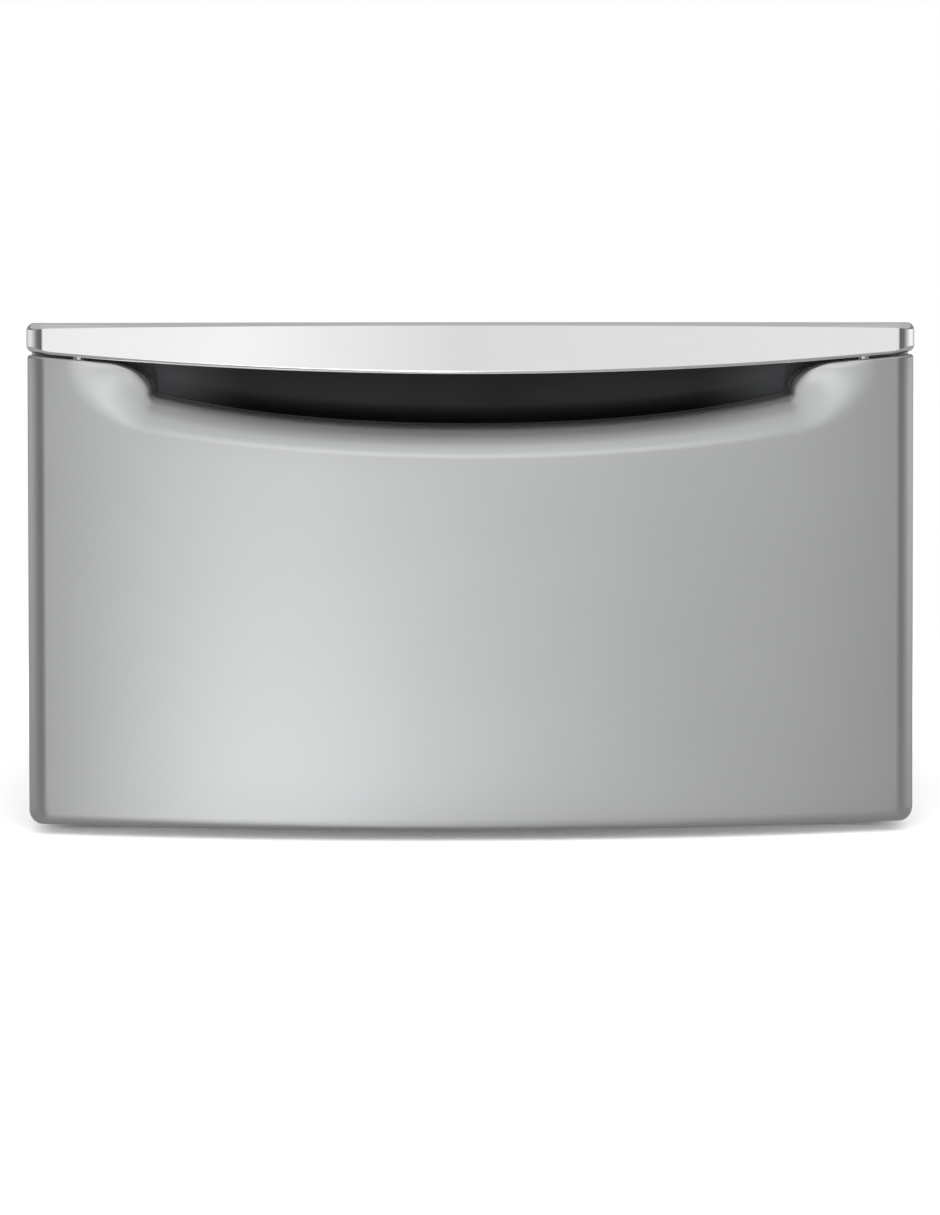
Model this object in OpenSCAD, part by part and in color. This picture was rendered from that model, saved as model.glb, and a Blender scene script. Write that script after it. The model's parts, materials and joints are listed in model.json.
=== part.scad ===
// Laundry pedestal with a storage drawer: a sheet-steel cabinet on four levelling feet,
// and a bowed drawer front on ball-bearing slides. Millimetres, +Z up, the front faces -Y,
// and the origin is on the floor under the middle of the outer box.

/* [Overall] */
// Width over the handle cap, the widest piece
overall_w = 685.8; // [670:0.1:700]
// Height from the floor to the top of the deck
overall_h = 393.7; // [380:0.1:420]
// Depth from the crown of the bow to the back of the cabinet
overall_d = 673; // [655:1:700]

/* [Cabinet] */
// How far each cabinet side stands in from the end of the handle cap
cabinet_inset = 1.9; // [1:0.1:6]
// Clear height under the cabinet with the feet screwed right in
cabinet_lift = 20; // [18:0.5:26]
// Thickness of the sheet steel
sheet_t = 1.2; // [0.8:0.1:1.6]
// Width of the flange that frames the drawer opening at each side
front_flange_w = 22; // [18:0.5:24]
// Width of the side panels' top, bottom and rear flanges
side_flange_w = 16; // [12:0.5:17]
// Depth of the hem turned back from each front flange
front_hem_w = 14; // [8:0.5:18]
// Depth of the deck's front and rear lips
deck_lip_h = 18; // [14:0.5:22]
// Height of the rail across the top of the drawer opening
top_rail_h = 30; // [24:1:36]
// Height of the rails across the base
base_rail_h = 24; // [20:1:26]
// Depth of every cross rail's flanges
rail_depth = 26; // [18:1:28]
// Leg of the angle posts in the corners, front to back
post_leg = 36; // [26:1:40]
// Leg of the angle posts in the corners, side to side
post_foot = 18; // [12:1:19]
// Steel thickness of the angle posts
post_t = 1.5; // [1.2:0.1:2.5]

/* [Deck] */
// Depth of the pressed pan in the deck
pan_depth = 5; // [3:0.5:8]
// Width of the flat rim round the pan
deck_rim = 34; // [28:1:44]
// How far each corner of the pan is cut back to leave a pad
pan_corner = 72; // [60:1:84]
// Number of stiffening ribs across the pan
deck_ribs = 4; // [2:1:6]
// Width of a stiffening rib
deck_rib_w = 34; // [20:1:46]
// Distance between the machine bolts, side to side
bolt_spacing_x = 590; // [575:1:600]
// Distance between the machine bolts, front to back
bolt_spacing_y = 490; // [480:1:500]
// Radius of a machine bolt hole
bolt_hole_r = 4.5; // [3:0.25:6]

/* [Front] */
// How far the front bows forward between its ends
bow = 45; // [30:1:50]
// Thickness of the drawer front at its ends
front_t = 35; // [33:1:42]
// Running gap between the cabinet and the drawer front
front_gap = 3; // [2.5:0.1:5]
// Radius of the rounded ends of the front, seen from above
end_r = 20; // [16:0.5:22]
// Wall of the moulded front pieces
wall_t = 3; // [2.4:0.1:3.5]
// How far the panel's face and ends stand in from the handle cap
panel_inset = 0.7; // [0.3:0.1:1.5]
// Height of the panel's lower edge above the floor
panel_lift = 7.5; // [5:0.5:10]
// Radius that rolls under along the panel's lower edge
panel_bottom_r = 10; // [7:0.5:14]
// Radius of the panel's lower corners, seen from the front
panel_corner_r = 11; // [10:0.5:16]

/* [Handle cap] */
// How far the handle cap stays below the deck
cap_drop = 0.5; // [0.5:0.5:4]
// Height of the cap at the middle
cap_mid_h = 39.2; // [34:0.1:44]
// How much the cap's lower edge rises from the middle to the ends
cap_rise = 16.7; // [12:0.1:20]
// Gap between the cap and the panel under it
cap_gap = 1.3; // [1:0.1:4]
// Radius along the cap's upper edge
cap_top_r = 4; // [2:0.5:6]
// Radius along the cap's lower edge
cap_bottom_r = 2.5; // [1.5:0.1:3]

/* [Finger scoop] */
// Half width of the scoop where it leaves the panel's face
rim_half_w = 310; // [290:1:312]
// Depth of the scoop's rim below the cap's lower edge, at the middle
rim_below_cap = 65; // [60:0.5:80]
// Radius of the rim's lower curve
rim_curve_r = 1754; // [1500:1:2200]
// Height of the rim's corners
rim_corner_h = 43; // [34:1:48]
// Width of the rim's corners
rim_corner_w = 62; // [40:1:66]
// Half width of the crest, where the scoop turns into the pocket
crest_half_w = 244.5; // [225:0.5:250]
// Depth of the crest below the cap's lower edge, at the middle
crest_below_cap = 39.2; // [32:0.2:46]
// Radius of the crest's lower curve at the middle
crest_curve_r = 1640; // [1400:1:2200]
// How much further the crest's curve rises towards its ends
crest_lift = 5.8; // [0:0.1:10]
// Width of the flare at each end of the crest
crest_flare_w = 44; // [26:1:48]
// Depth of the scoop at its crest
lip_depth = 17; // [14:0.5:22]
// Depth of the scoop's ends under the cap, as a share of the lip's depth
lip_end_share = 0.35; // [0.3:0.05:1]
// Share of the lip that is rounded before its ramp begins
lip_round = 0.68; // [0.4:0.01:0.9]
// How far the lip runs back behind its crest
lip_run = 22; // [14:0.5:23]
// Clearance of the pocket's back from the inner panel
pocket_back_gap = 6; // [3:0.5:7]
// Wall of the pocket liner
liner_t = 2; // [1.5:0.1:3]

/* [Drawer] */
// Height of the drawer's underside above the floor
drawer_lift = 52; // [50:1:60]
// Height of the drawer's sides
drawer_side_h = 258; // [220:1:262]
// Clear space behind the drawer when it is shut
drawer_back_gap = 50; // [30:1:70]
// Width of the hem along the top of the drawer's walls
drawer_hem_w = 9; // [6:0.5:12]
// Width of the flanges that join the drawer's sheets
drawer_flange_w = 12; // [9:0.5:16]
// Thickness of the divider's panel
divider_t = 3; // [2:0.2:4]
// Where the divider stands at rest, from the middle of the pedestal
divider_y = 10; // [-40:1:60]

/* [Slides] */
// Length of the slides
slide_len = 500; // [480:1:510]
// Height of the slides' outer member
slide_h = 45; // [43:0.5:50]
// Thickness of a closed slide
slide_t = 12.7; // [12.4:0.1:14]
// Steel thickness of the slide members
slide_steel = 1.2; // [1:0.05:1.4]
// Height of the slides' centre line above the drawer's underside
slide_rise = 124; // [90:1:150]
// Diameter of the balls between the outer and middle members
outer_ball_d = 4; // [3.4:0.1:4.2]
// Diameter of the balls between the middle and inner members
inner_ball_d = 2.8; // [2.2:0.1:3]
// Balls in each row
ball_count = 8; // [4:1:12]
// Distance between the balls in a row
ball_pitch = 30; // [12:1:32]
// Steel thickness of the ball cages
cage_t = 0.5; // [0.4:0.05:0.6]
// Distance from an inner member's front end to its release lever's pivot
lever_y = 214; // [150:1:216]
// Length of a release lever from its pivot to its thumb pad
lever_len = 46; // [34:1:50]
// Radius of a release lever's pivot pin
lever_pin_r = 2; // [1.5:0.1:2.5]

/* [Feet] */
// Distance from the cabinet's side to a foot's centre
foot_inset_x = 29; // [28:0.5:32]
// Distance from the cabinet's front or back to a foot's centre
foot_inset_y = 40; // [36:0.5:50]
// Radius of a foot's threaded stud
stud_r = 4.9; // [4:0.1:5]
// Length of the stud above the foot's hexagon
stud_len = 34; // [28:1:38]
// Radius of a foot's rubber pad
pad_r = 19; // [14:0.5:20]
// Thickness of a foot's rubber pad
pad_h = 5; // [3:0.5:6]
// Width across the flats of a foot's hexagon and its lock nut
hex_flats = 17; // [14:0.5:19]
// Thickness of a lock nut
nut_h = 5.5; // [4:0.5:6]
// Thickness of the threaded plates that carry the feet
foot_plate_t = 3; // [2.5:0.5:4]
// Height of the threaded collar on each foot plate
collar_h = 7; // [5:0.5:9]

/* [Fits] */
// Gap between pieces that seat on each other
seat_gap = 0.3; // [0.2:0.05:0.4]
// Gap between sliding or turning pieces
run_gap = 0.05; // [0.03:0.01:0.08]
// Radius of the sheet-metal screws
screw_r = 1.8; // [1.4:0.1:2.1]
// Radius of a screw's head
screw_head_r = 4; // [3:0.25:5]
// Height of a screw's head
screw_head_h = 1.6; // [1:0.1:1.9]

/* [Hidden] */
$fn = 48;

// Sides and ends as signs, so that one module makes each mirrored piece.
LEFT = -1;
RIGHT = 1;
FRONT = -1;
REAR = 1;

// Places that everything else is worked out from.
half_w = overall_w / 2;
y_crown = -overall_d / 2;
y_back = overall_d / 2;
y_end = y_crown + bow;                       // the face's plane at the front's ends
y_inner = y_end + front_t;                   // the back of the drawer front
y_cab = y_inner + front_gap;                 // the cabinet's front plane
cab_half_w = half_w - cabinet_inset;
z_deck = overall_h;
z_sheet_top = overall_h - sheet_t;           // under the deck's rim
wall_in = cab_half_w - sheet_t;              // a side panel's inner face
opening_half_w = cab_half_w - front_flange_w;
z_cap = overall_h - cap_drop;
z_cap_mid = z_cap - cap_mid_h;               // the cap's lower edge at the middle
panel_half_w = half_w - panel_inset;
bow_r = (half_w * half_w + bow * bow) / (2 * bow);
cap_curve_r = (half_w * half_w + cap_rise * cap_rise) / (2 * cap_rise);

// Rails, posts and foot plates sit on one another from the bottom flange up.
z_flange = cabinet_lift + sheet_t;
z_foot_plate = z_flange + sheet_t;
z_plate_top = z_foot_plate + foot_plate_t;
y_rail = y_cab + sheet_t;                    // cross rails lie behind the side flanges
y_sheet_back = y_back - screw_head_h;        // the cabinet's rear plane, under its screw heads
y_rear_sheet = y_sheet_back - 2 * sheet_t;   // the back panel lies inside the rear flanges
y_post = [y_rail + sheet_t, y_rear_sheet - sheet_t];  // the corner posts lie behind the rails
foot_x = cab_half_w - foot_inset_x;
foot_y = [y_cab + foot_inset_y, y_sheet_back - foot_inset_y];
foot_plate_reach = 20;                       // from a foot's centre to its plate's free edges

// Slides: distances u run from the outer member's back towards the drawer.
slide_inset = 3;                             // from the opening's edge to the slides' backs
slide_setback = 5;                           // from the cabinet's front to the slides' front ends
slide_x = opening_half_w - slide_inset;      // where u is 0
slide_y = y_cab + slide_setback;
drawer_half_w = slide_x - slide_t;
slide_z = drawer_lift + slide_rise;
cage_gap = 0.15;                             // between a cage and the member beside it
outer_ball_room = 1.55;                      // play beside the outer balls, for the cage and the lip
middle_ball_room = 1.65;                     // play beside the inner balls, likewise
inner_flange_room = 0.8;                     // from the inner cage to the inner member's flanges
outer_web_u = slide_steel;
cage_outer_u = outer_web_u + cage_gap;
middle_u = cage_outer_u + cage_t + cage_gap;
cage_inner_u = middle_u + slide_steel + cage_gap;
outer_lip_u = cage_outer_u + cage_t + outer_ball_d + outer_ball_room;
outer_ball_u = (cage_outer_u + cage_t + outer_lip_u) / 2;
outer_ball_w = slide_h / 2 - slide_steel - run_gap - outer_ball_d / 2;
middle_half_h = outer_ball_w - outer_ball_d / 2 - run_gap;
middle_lip_u = cage_inner_u + cage_t + inner_ball_d + middle_ball_room;
inner_ball_u = (cage_inner_u + cage_t + middle_lip_u) / 2;
inner_ball_w = middle_half_h - slide_steel - run_gap - inner_ball_d / 2;
inner_half_h = inner_ball_w - inner_ball_d / 2 - run_gap;
inner_web_u = slide_t - slide_steel;
inner_flange_u = cage_inner_u + cage_t + inner_flange_room;
cage_end = 15;                               // cage beyond the last ball at each end
cage_len = (ball_count - 1) * ball_pitch + 2 * cage_end;
cage_start = (slide_len - cage_len) / 2;
lip_gap = 0.4;                               // between a lip and the flange that passes it
stop_len = 6;                                // length of the stop at each slide's rear end
moving_len = slide_len - stop_len - seat_gap;
bracket_t = 1.5;
slide_screw_end = 45;                        // from a slide's ends to its outer screws
slide_screw_mid = 225;                       // from a slide's front end to its middle screw
slide_screw_ys = [for (y = [slide_screw_end, slide_screw_mid, slide_len - slide_screw_end]) slide_y + y];

// Drawer box.
z_drawer_top = drawer_lift + drawer_side_h;
y_drawer_back = y_sheet_back - drawer_back_gap;
drawer_in = drawer_half_w - sheet_t;
y_pocket = y_inner - sheet_t - pocket_back_gap;  // the back of the pocket liner
y_shell_back = y_inner - sheet_t - seat_gap;     // the rear edges of the moulded pieces
shell_screw_x = 250;                         // the panel's outer screws, from the middle
shell_screw_z = [70, 220, 250];              // heights of its lower, upper and middle upper screws
shell_screws = concat(
    [for (x = [-shell_screw_x, shell_screw_x]) for (k = [0, 1]) [x, shell_screw_z[k]]],
    [[0, shell_screw_z[0]], [0, shell_screw_z[2]]]
);
cap_screw_xs = [-270, -100, 100, 270];
pocket_screw_xs = [-180, -60, 60, 180];
cap_boss_drop = 4.2;                         // from the cap's inner top to its screws
pocket_boss_drop = 12;                       // from the cap's lower edge to the pocket's screws
z_cap_screw = z_cap - wall_t - cap_boss_drop;
z_pocket_screw = z_cap_mid - pocket_boss_drop;
boss_r = 5;
boss_screw_len = 14;
boss_end = 3;                                // solid end of a cap boss, beyond its screw
bore_end_gap = 0.5;                          // beyond a screw's point in a blind bore
z_liner_top = z_cap_screw - boss_r - seat_gap;
front_screw_points = concat(
    shell_screws,
    [for (x = cap_screw_xs) [x, z_cap_screw]],
    [for (x = pocket_screw_xs) [x, z_pocket_screw]]
);
bore_r = screw_r + run_gap;
short_screw_len = 8;
fuse = 0.1;                                  // overlap that joins two solids of one piece

// ---------------------------------------------------------------- general shapes

module box(low, high) {
    translate(low) cube(high - low);
}

module for_side(side) {
    if (side == LEFT) mirror([1, 0, 0]) children();
    else children();
}

// A rod along +Y from y0 to y1.
module rod_y(x, y0, y1, z, r) {
    translate([x, y0, z]) rotate([-90, 0, 0]) cylinder(r = r, h = y1 - y0);
}

// A rod along +X from x0 to x1.
module rod_x(x0, x1, y, z, r) {
    translate([x0, y, z]) rotate([0, 90, 0]) cylinder(r = r, h = x1 - x0);
}

module hexagon(flats, z0, z1) {
    translate([0, 0, z0]) cylinder(r = flats / 2 / cos(30), h = z1 - z0, $fn = 6);
}

// Two grids of points, outside and inside, closed round their borders into one thick skin.
module skin(outside, inside) {
    rows = len(outside);
    cols = len(outside[0]);
    n = rows * cols;
    function at(i, j) = i * cols + j;
    points = concat([for (row = outside) for (p = row) p], [for (row = inside) for (p = row) p]);
    faces = concat(
        [for (i = [0 : rows - 2]) for (j = [0 : cols - 2])
            each [[at(i, j), at(i + 1, j), at(i + 1, j + 1)], [at(i, j), at(i + 1, j + 1), at(i, j + 1)]]],
        [for (i = [0 : rows - 2]) for (j = [0 : cols - 2])
            each [[n + at(i, j), n + at(i + 1, j + 1), n + at(i + 1, j)],
                  [n + at(i, j), n + at(i, j + 1), n + at(i + 1, j + 1)]]],
        [for (j = [0 : cols - 2])
            each [[at(0, j), at(0, j + 1), n + at(0, j + 1)], [at(0, j), n + at(0, j + 1), n + at(0, j)]]],
        [for (j = [0 : cols - 2])
            each [[at(rows - 1, j + 1), at(rows - 1, j), n + at(rows - 1, j)],
                  [at(rows - 1, j + 1), n + at(rows - 1, j), n + at(rows - 1, j + 1)]]],
        [for (i = [0 : rows - 2])
            each [[at(i + 1, 0), at(i, 0), n + at(i, 0)], [at(i + 1, 0), n + at(i, 0), n + at(i + 1, 0)]]],
        [for (i = [0 : rows - 2])
            each [[at(i, cols - 1), at(i + 1, cols - 1), n + at(i + 1, cols - 1)],
                  [at(i, cols - 1), n + at(i + 1, cols - 1), n + at(i, cols - 1)]]]
    );
    polyhedron(points = points, faces = faces);
}

function unit(v) = v / norm(v);
function clamp(v, low, high) = min(max(v, low), high);
function ease(t) = t * t * (3 - 2 * t);

// A grid moved along its own normals, away from the side that the grid's faces look to.
function thicken(grid, t) = [
    for (i = [0 : len(grid) - 1]) [
        for (j = [0 : len(grid[i]) - 1])
            let (
                down = grid[min(i + 1, len(grid) - 1)][j] - grid[max(i - 1, 0)][j],
                along = grid[i][min(j + 1, len(grid[i]) - 1)] - grid[i][max(j - 1, 0)]
            )
            grid[i][j] + t * unit(cross(down, along))
    ]
];

// ---------------------------------------------------------------- the bowed front

// The face of the bow at x.
function y_face(x) = y_end + bow_r - bow - sqrt(bow_r * bow_r - x * x);

// The cap's lower edge, and the panel's upper edge under it.
function z_cap_low(x) = z_cap_mid + cap_curve_r - sqrt(cap_curve_r * cap_curve_r - x * x);
function z_panel_top(x) = z_cap_low(x) - cap_gap;

// The rounded end's circle touches both the bow and the side.
end_x = half_w - end_r;
end_y = y_end + bow_r - bow - sqrt(pow(bow_r - end_r, 2) - end_x * end_x);
end_angle = asin(end_x / (bow_r - end_r));   // the bow's slope where the end starts
end_w = half_w - bow_r * sin(end_angle);     // the rounded end's width, seen from the front

// A U-shaped outline from the upper left, down, along and up to the upper right:
// straight sides, elliptical corners, and a foot that follows a lower edge.
side_steps = 4;
corner_steps = 7;
foot_steps = 26;
u_steps = 2 * side_steps + 2 * corner_steps + foot_steps;

function u_left(i, half, top, corner_w, corner_h) =
    i <= side_steps
        ? [-half, top + (corner_h - top) * i / side_steps]
        : let (a = 90 * (i - side_steps) / corner_steps)
          [-half + corner_w * (1 - cos(a)), corner_h * (1 - sin(a))];

// The point i of a U, as x and the height above the lower edge.
function u_point(i, half, top, corner_w, corner_h) =
    let (ends = side_steps + corner_steps)
    i <= ends
        ? u_left(i, half, top, corner_w, corner_h)
        : i >= ends + foot_steps
            ? let (p = u_left(u_steps - i, half, top, corner_w, corner_h)) [-p[0], p[1]]
            : [(half - corner_w) * (2 * (i - ends) / foot_steps - 1), 0];

// The rim and the crest of the scoop, and the panel's outline, each as x and z.
z_rim = z_cap_mid - rim_below_cap;
z_crest = z_cap_mid - crest_below_cap;
function rim_curve(x) = rim_curve_r - sqrt(rim_curve_r * rim_curve_r - x * x);
function crest_curve(x) = x * x / 2 / crest_curve_r + crest_lift * pow(x / crest_half_w, 4);
function rim(i) =
    let (top = z_panel_top(rim_half_w) - z_rim - rim_curve(rim_half_w),
         p = u_point(i, rim_half_w, top, rim_corner_w, rim_corner_h))
    [p[0], z_rim + rim_curve(p[0]) + p[1]];

// The crest's ends flare out in quarter ellipses that end level, under the cap's edge.
flare_steps = side_steps + corner_steps;
z_flare = z_crest + crest_curve(crest_half_w);
flare_h = z_panel_top(crest_half_w + crest_flare_w) - z_flare;
function flare(k) =
    let (a = 90 * k / flare_steps)
    [-crest_half_w - crest_flare_w * (1 - sin(a)), z_flare + flare_h * cos(a)];
function crest(i) =
    i <= flare_steps ? flare(i)
    : i >= u_steps - flare_steps
        ? let (p = flare(u_steps - i)) [-p[0], p[1]]
        : let (x = crest_half_w * (2 * (i - flare_steps) / foot_steps - 1)) [x, z_crest + crest_curve(x)];
function outline(i) =
    let (p = u_point(i, panel_half_w, z_panel_top(panel_half_w) - panel_lift,
                     panel_corner_r, panel_corner_r))
    [p[0], panel_lift + p[1]];

// The line where the face starts to roll over, in from the outline at the sides and the foot.
face_corner_r = 3;
function face_edge(i) =
    let (low = panel_lift + panel_bottom_r, half = panel_half_w - end_w,
         p = u_point(i, half, z_panel_top(half) - low, face_corner_r, face_corner_r))
    [p[0], low + p[1]];

// How far back the rolled edge goes: more at the sides than at the foot.
function roll_depth(i) =
    let (k = min(i, u_steps - i), a = ease(clamp((k - side_steps) / corner_steps, 0, 1)))
    end_w + (panel_bottom_r - end_w) * a;

// A point of the panel's face; the outline's first and last points lie under the cap's edge.
function on_face(p, back, i) =
    [p[0], y_face(p[0]) + panel_inset + back, i == 0 || i == u_steps ? z_panel_top(p[0]) : p[1]];

roll_angles = [90, 75, 60, 45, 30, 15, 0];
face_rows = 4;
lip_shares = [0.17, 0.34, 0.51, 0.68, 0.84, 1];

// The lip is a parabola at first and then a straight ramp, as deep as lip_depth at its crest.
function lip_sink(t) =
    let (k = lip_depth / lip_round / (2 - lip_round), r = min(t, lip_round))
    k * (r * r + 2 * lip_round * (t - r));

// Towards its ends the lip grows shallower; the level run behind it ends at one depth everywhere.
depth_steps = side_steps + corner_steps / 2;
function depth_share(i) =
    lip_end_share + (1 - lip_end_share) * ease(min(1, min(i, u_steps - i) / depth_steps));
function lip_back(i, t, run) =
    let (sunk = lip_sink(t) * depth_share(i)) sunk + (lip_depth + lip_run - sunk) * run;

function roll_row(a) = [for (i = [0 : u_steps])
    on_face(face_edge(i) + (outline(i) - face_edge(i)) * sin(a), roll_depth(i) * (1 - cos(a)), i)];
function face_row(k) = [for (i = [0 : u_steps])
    on_face(face_edge(i) + (rim(i) - face_edge(i)) * k / face_rows, 0, i)];
function lip_row(t, run = 0) = [for (i = [0 : u_steps])
    on_face(rim(i) + (crest(i) - rim(i)) * t, lip_back(i, t, run), i)];

panel_grid = concat(
    [[for (p = roll_row(90)) [p[0], y_shell_back, p[2]]]],
    [for (a = roll_angles) roll_row(a)],
    [for (k = [1 : face_rows]) face_row(k)],
    [for (t = lip_shares) lip_row(t)],
    [lip_row(1, 0.5), lip_row(1, 1)]
);

module front_panel() {
    color("#8d8f91") difference() {
        union() {
            skin(panel_grid, thicken(panel_grid, wall_t));
            for (s = shell_screws)
                rod_y(s[0], y_face(s[0]) + panel_inset + wall_t - 1, y_shell_back, s[1], boss_r);
        }
        for (s = shell_screws)
            rod_y(s[0], y_inner - boss_screw_len - bore_end_gap, y_inner, s[1], bore_r);
    }
}

// ---------------------------------------------------------------- handle cap

cap_side_steps = 2;
cap_corner_steps = 6;
cap_bow_steps = 30;
cap_steps = 2 * cap_side_steps + 2 * cap_corner_steps + cap_bow_steps;

// Point and outward direction of the left half of the cap's outline, seen from above.
function cap_left(i) =
    i <= cap_side_steps
        ? [[-half_w, y_shell_back + (end_y - y_shell_back) * i / cap_side_steps], [-1, 0]]
        : let (a = (90 - end_angle) * (i - cap_side_steps) / cap_corner_steps)
          [[-end_x - end_r * cos(a), end_y - end_r * sin(a)], [-cos(a), -sin(a)]];

function cap_at(i) =
    let (ends = cap_side_steps + cap_corner_steps)
    i <= ends ? cap_left(i)
    : i >= ends + cap_bow_steps
        ? let (c = cap_left(cap_steps - i)) [[-c[0][0], c[0][1]], [-c[1][0], c[1][1]]]
        : let (a = end_angle * (2 * (i - ends) / cap_bow_steps - 1))
          [[bow_r * sin(a), y_end + bow_r - bow - bow_r * cos(a)], [sin(a), -cos(a)]];

// A row of the cap at a depth behind its outline: rise is above its lower edge, drop below its top.
function cap_low_row(depth, rise) = [for (i = [0 : cap_steps])
    let (c = cap_at(i), p = c[0] - c[1] * depth)
    [p[0], min(p[1], y_shell_back), z_cap_low(c[0][0]) + rise]];
function cap_high_row(depth, drop) = [for (i = [0 : cap_steps])
    let (c = cap_at(i), p = c[0] - c[1] * depth) [p[0], min(p[1], y_shell_back), z_cap - drop]];
function cap_rear_row(depth, drop) = [for (i = [0 : cap_steps])
    [(half_w - depth) * (2 * i / cap_steps - 1), y_shell_back, z_cap - drop]];

cap_wall = wall_t + 1;
cap_inner_step = 0.4;                        // between the rows that face the outer edges' rounds
cap_outside = concat(
    [for (a = [0, 30, 60, 90]) cap_low_row(cap_bottom_r * (1 - sin(a)), cap_bottom_r * (1 - cos(a)))],
    [for (a = [0, 30, 60, 90]) cap_high_row(cap_top_r * (1 - cos(a)), cap_top_r * (1 - sin(a)))],
    [cap_rear_row(cap_top_r, 0)]
);
cap_inside = concat(
    [for (k = [0 : 3]) cap_low_row(cap_wall, k * cap_inner_step)],
    [for (k = [0 : 3]) cap_high_row(max(cap_wall, cap_top_r) + k * cap_inner_step, wall_t)],
    [cap_rear_row(max(cap_wall, cap_top_r) + 5 * cap_inner_step, wall_t)]
);

module handle_cap() {
    color("#dfe1e2") difference() {
        union() {
            skin(cap_outside, cap_inside);
            for (x = cap_screw_xs)
                rod_y(x, y_inner - boss_screw_len - boss_end, y_shell_back, z_cap_screw, boss_r);
        }
        for (x = cap_screw_xs)
            rod_y(x, y_inner - boss_screw_len - bore_end_gap, y_inner, z_cap_screw, bore_r);
    }
}

// ---------------------------------------------------------------- finger pocket

pocket_reach = lip_depth + lip_run + seat_gap;  // from the face to the liner's front edge

// The crest's outline moved out by d, closed over the top at z.
function pocket_side(i, d) =
    let (dir = unit(crest(min(i + 1, u_steps)) - crest(max(i - 1, 0)))) crest(i) + d * [dir[1], -dir[0]];
function pocket_outline(d, z) =
    let (w = crest_half_w + crest_flare_w + d)
    concat([[-w, z], [-w, pocket_side(0, d)[1]]], [for (i = [0 : u_steps]) pocket_side(i, d)],
           [[w, pocket_side(u_steps, d)[1]], [w, z]]);

// A flat outline in x and z, carried from y0 to y1.
module across(outline_points, y0, y1) {
    translate([0, y1, 0]) rotate([90, 0, 0]) linear_extrude(y1 - y0) polygon(outline_points);
}

module finger_pocket() {
    color("#161718") difference() {
        union() {
            intersection() {
                across(pocket_outline(seat_gap + liner_t, z_liner_top), y_crown, y_pocket);
                translate([0, y_end + bow_r - bow + panel_inset + pocket_reach, 0])
                    cylinder(r = bow_r, h = overall_h, $fn = 1440);
            }
            for (x = pocket_screw_xs)
                rod_y(x, y_pocket - fuse, y_shell_back, z_pocket_screw, boss_r);
        }
        across(pocket_outline(seat_gap, z_liner_top - liner_t), y_crown - 1, y_pocket - liner_t);
        for (x = pocket_screw_xs)
            rod_y(x, y_pocket - bore_end_gap, y_inner, z_pocket_screw, bore_r);
    }
}

// ---------------------------------------------------------------- the drawer

// A screw along Y whose head lies on the plane y and whose point runs forward or to the rear.
module screw_y(x, y, z, length, way) {
    rod_y(x, way == REAR ? y - fuse : y - length, way == REAR ? y + length : y + fuse, z, screw_r);
    rod_y(x, way == REAR ? y - screw_head_h : y, way == REAR ? y : y + screw_head_h, z, screw_head_r);
}

edge_reveal = 1; // how far the inner panel stands in from the moulded pieces' outline

module inner_front_panel() {
    w = panel_half_w - edge_reveal;
    low = panel_lift + edge_reveal;
    cut = panel_corner_r;
    color("#aeb2b5") difference() {
        across([[-w, z_cap - edge_reveal], [-w, low + cut], [-w + cut, low],
                [w - cut, low], [w, low + cut], [w, z_cap - edge_reveal]], y_inner - sheet_t, y_inner);
        for (s = front_screw_points) rod_y(s[0], y_inner - sheet_t - 1, y_inner + 1, s[1], bore_r);
    }
}

module front_screws() {
    color("#9da1a4") {
        for (s = shell_screws) screw_y(s[0], y_inner, s[1], boss_screw_len, FRONT);
        for (x = cap_screw_xs) screw_y(x, y_inner, z_cap_screw, boss_screw_len, FRONT);
        for (x = pocket_screw_xs) screw_y(x, y_inner, z_pocket_screw, y_inner - y_pocket, FRONT);
    }
}

module drawer_side(side) {
    z_floor = drawer_lift + sheet_t;
    color("#c9cccd") for_side(side) difference() {
        union() {
            box([drawer_in, y_inner, drawer_lift], [drawer_half_w, y_drawer_back, z_drawer_top]);
            box([drawer_in, y_inner, z_drawer_top - sheet_t],
                [drawer_half_w + drawer_hem_w, y_drawer_back, z_drawer_top]);
            box([drawer_in - drawer_flange_w, y_inner, drawer_lift], [drawer_half_w, y_drawer_back, z_floor]);
            box([drawer_in - drawer_flange_w, y_inner, drawer_lift],
                [drawer_half_w, y_inner + sheet_t, z_drawer_top - sheet_t]);
            box([drawer_in - drawer_flange_w, y_drawer_back - sheet_t, drawer_lift],
                [drawer_half_w, y_drawer_back, z_drawer_top - sheet_t]);
        }
        for (y = slide_screw_ys) rod_x(drawer_in - 1, drawer_half_w + 1, y, slide_z, bore_r);
    }
}

module drawer_back() {
    y1 = y_drawer_back - sheet_t;
    w = drawer_in - seat_gap;
    color("#c9cccd") {
        box([-w, y1 - sheet_t, drawer_lift + sheet_t], [w, y1, z_drawer_top]);
        box([-w, y1 - sheet_t, z_drawer_top - sheet_t], [w, y1 + drawer_hem_w, z_drawer_top]);
    }
}

module drawer_floor() {
    w = drawer_in - seat_gap;
    color("#c9cccd")
        box([-w, y_inner + sheet_t, drawer_lift + sheet_t],
            [w, y_drawer_back - 2 * sheet_t - seat_gap, drawer_lift + 2 * sheet_t]);
}

divider_shoe = 14; // reach of the divider's hooks in front of, behind and down beside the hem

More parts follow.
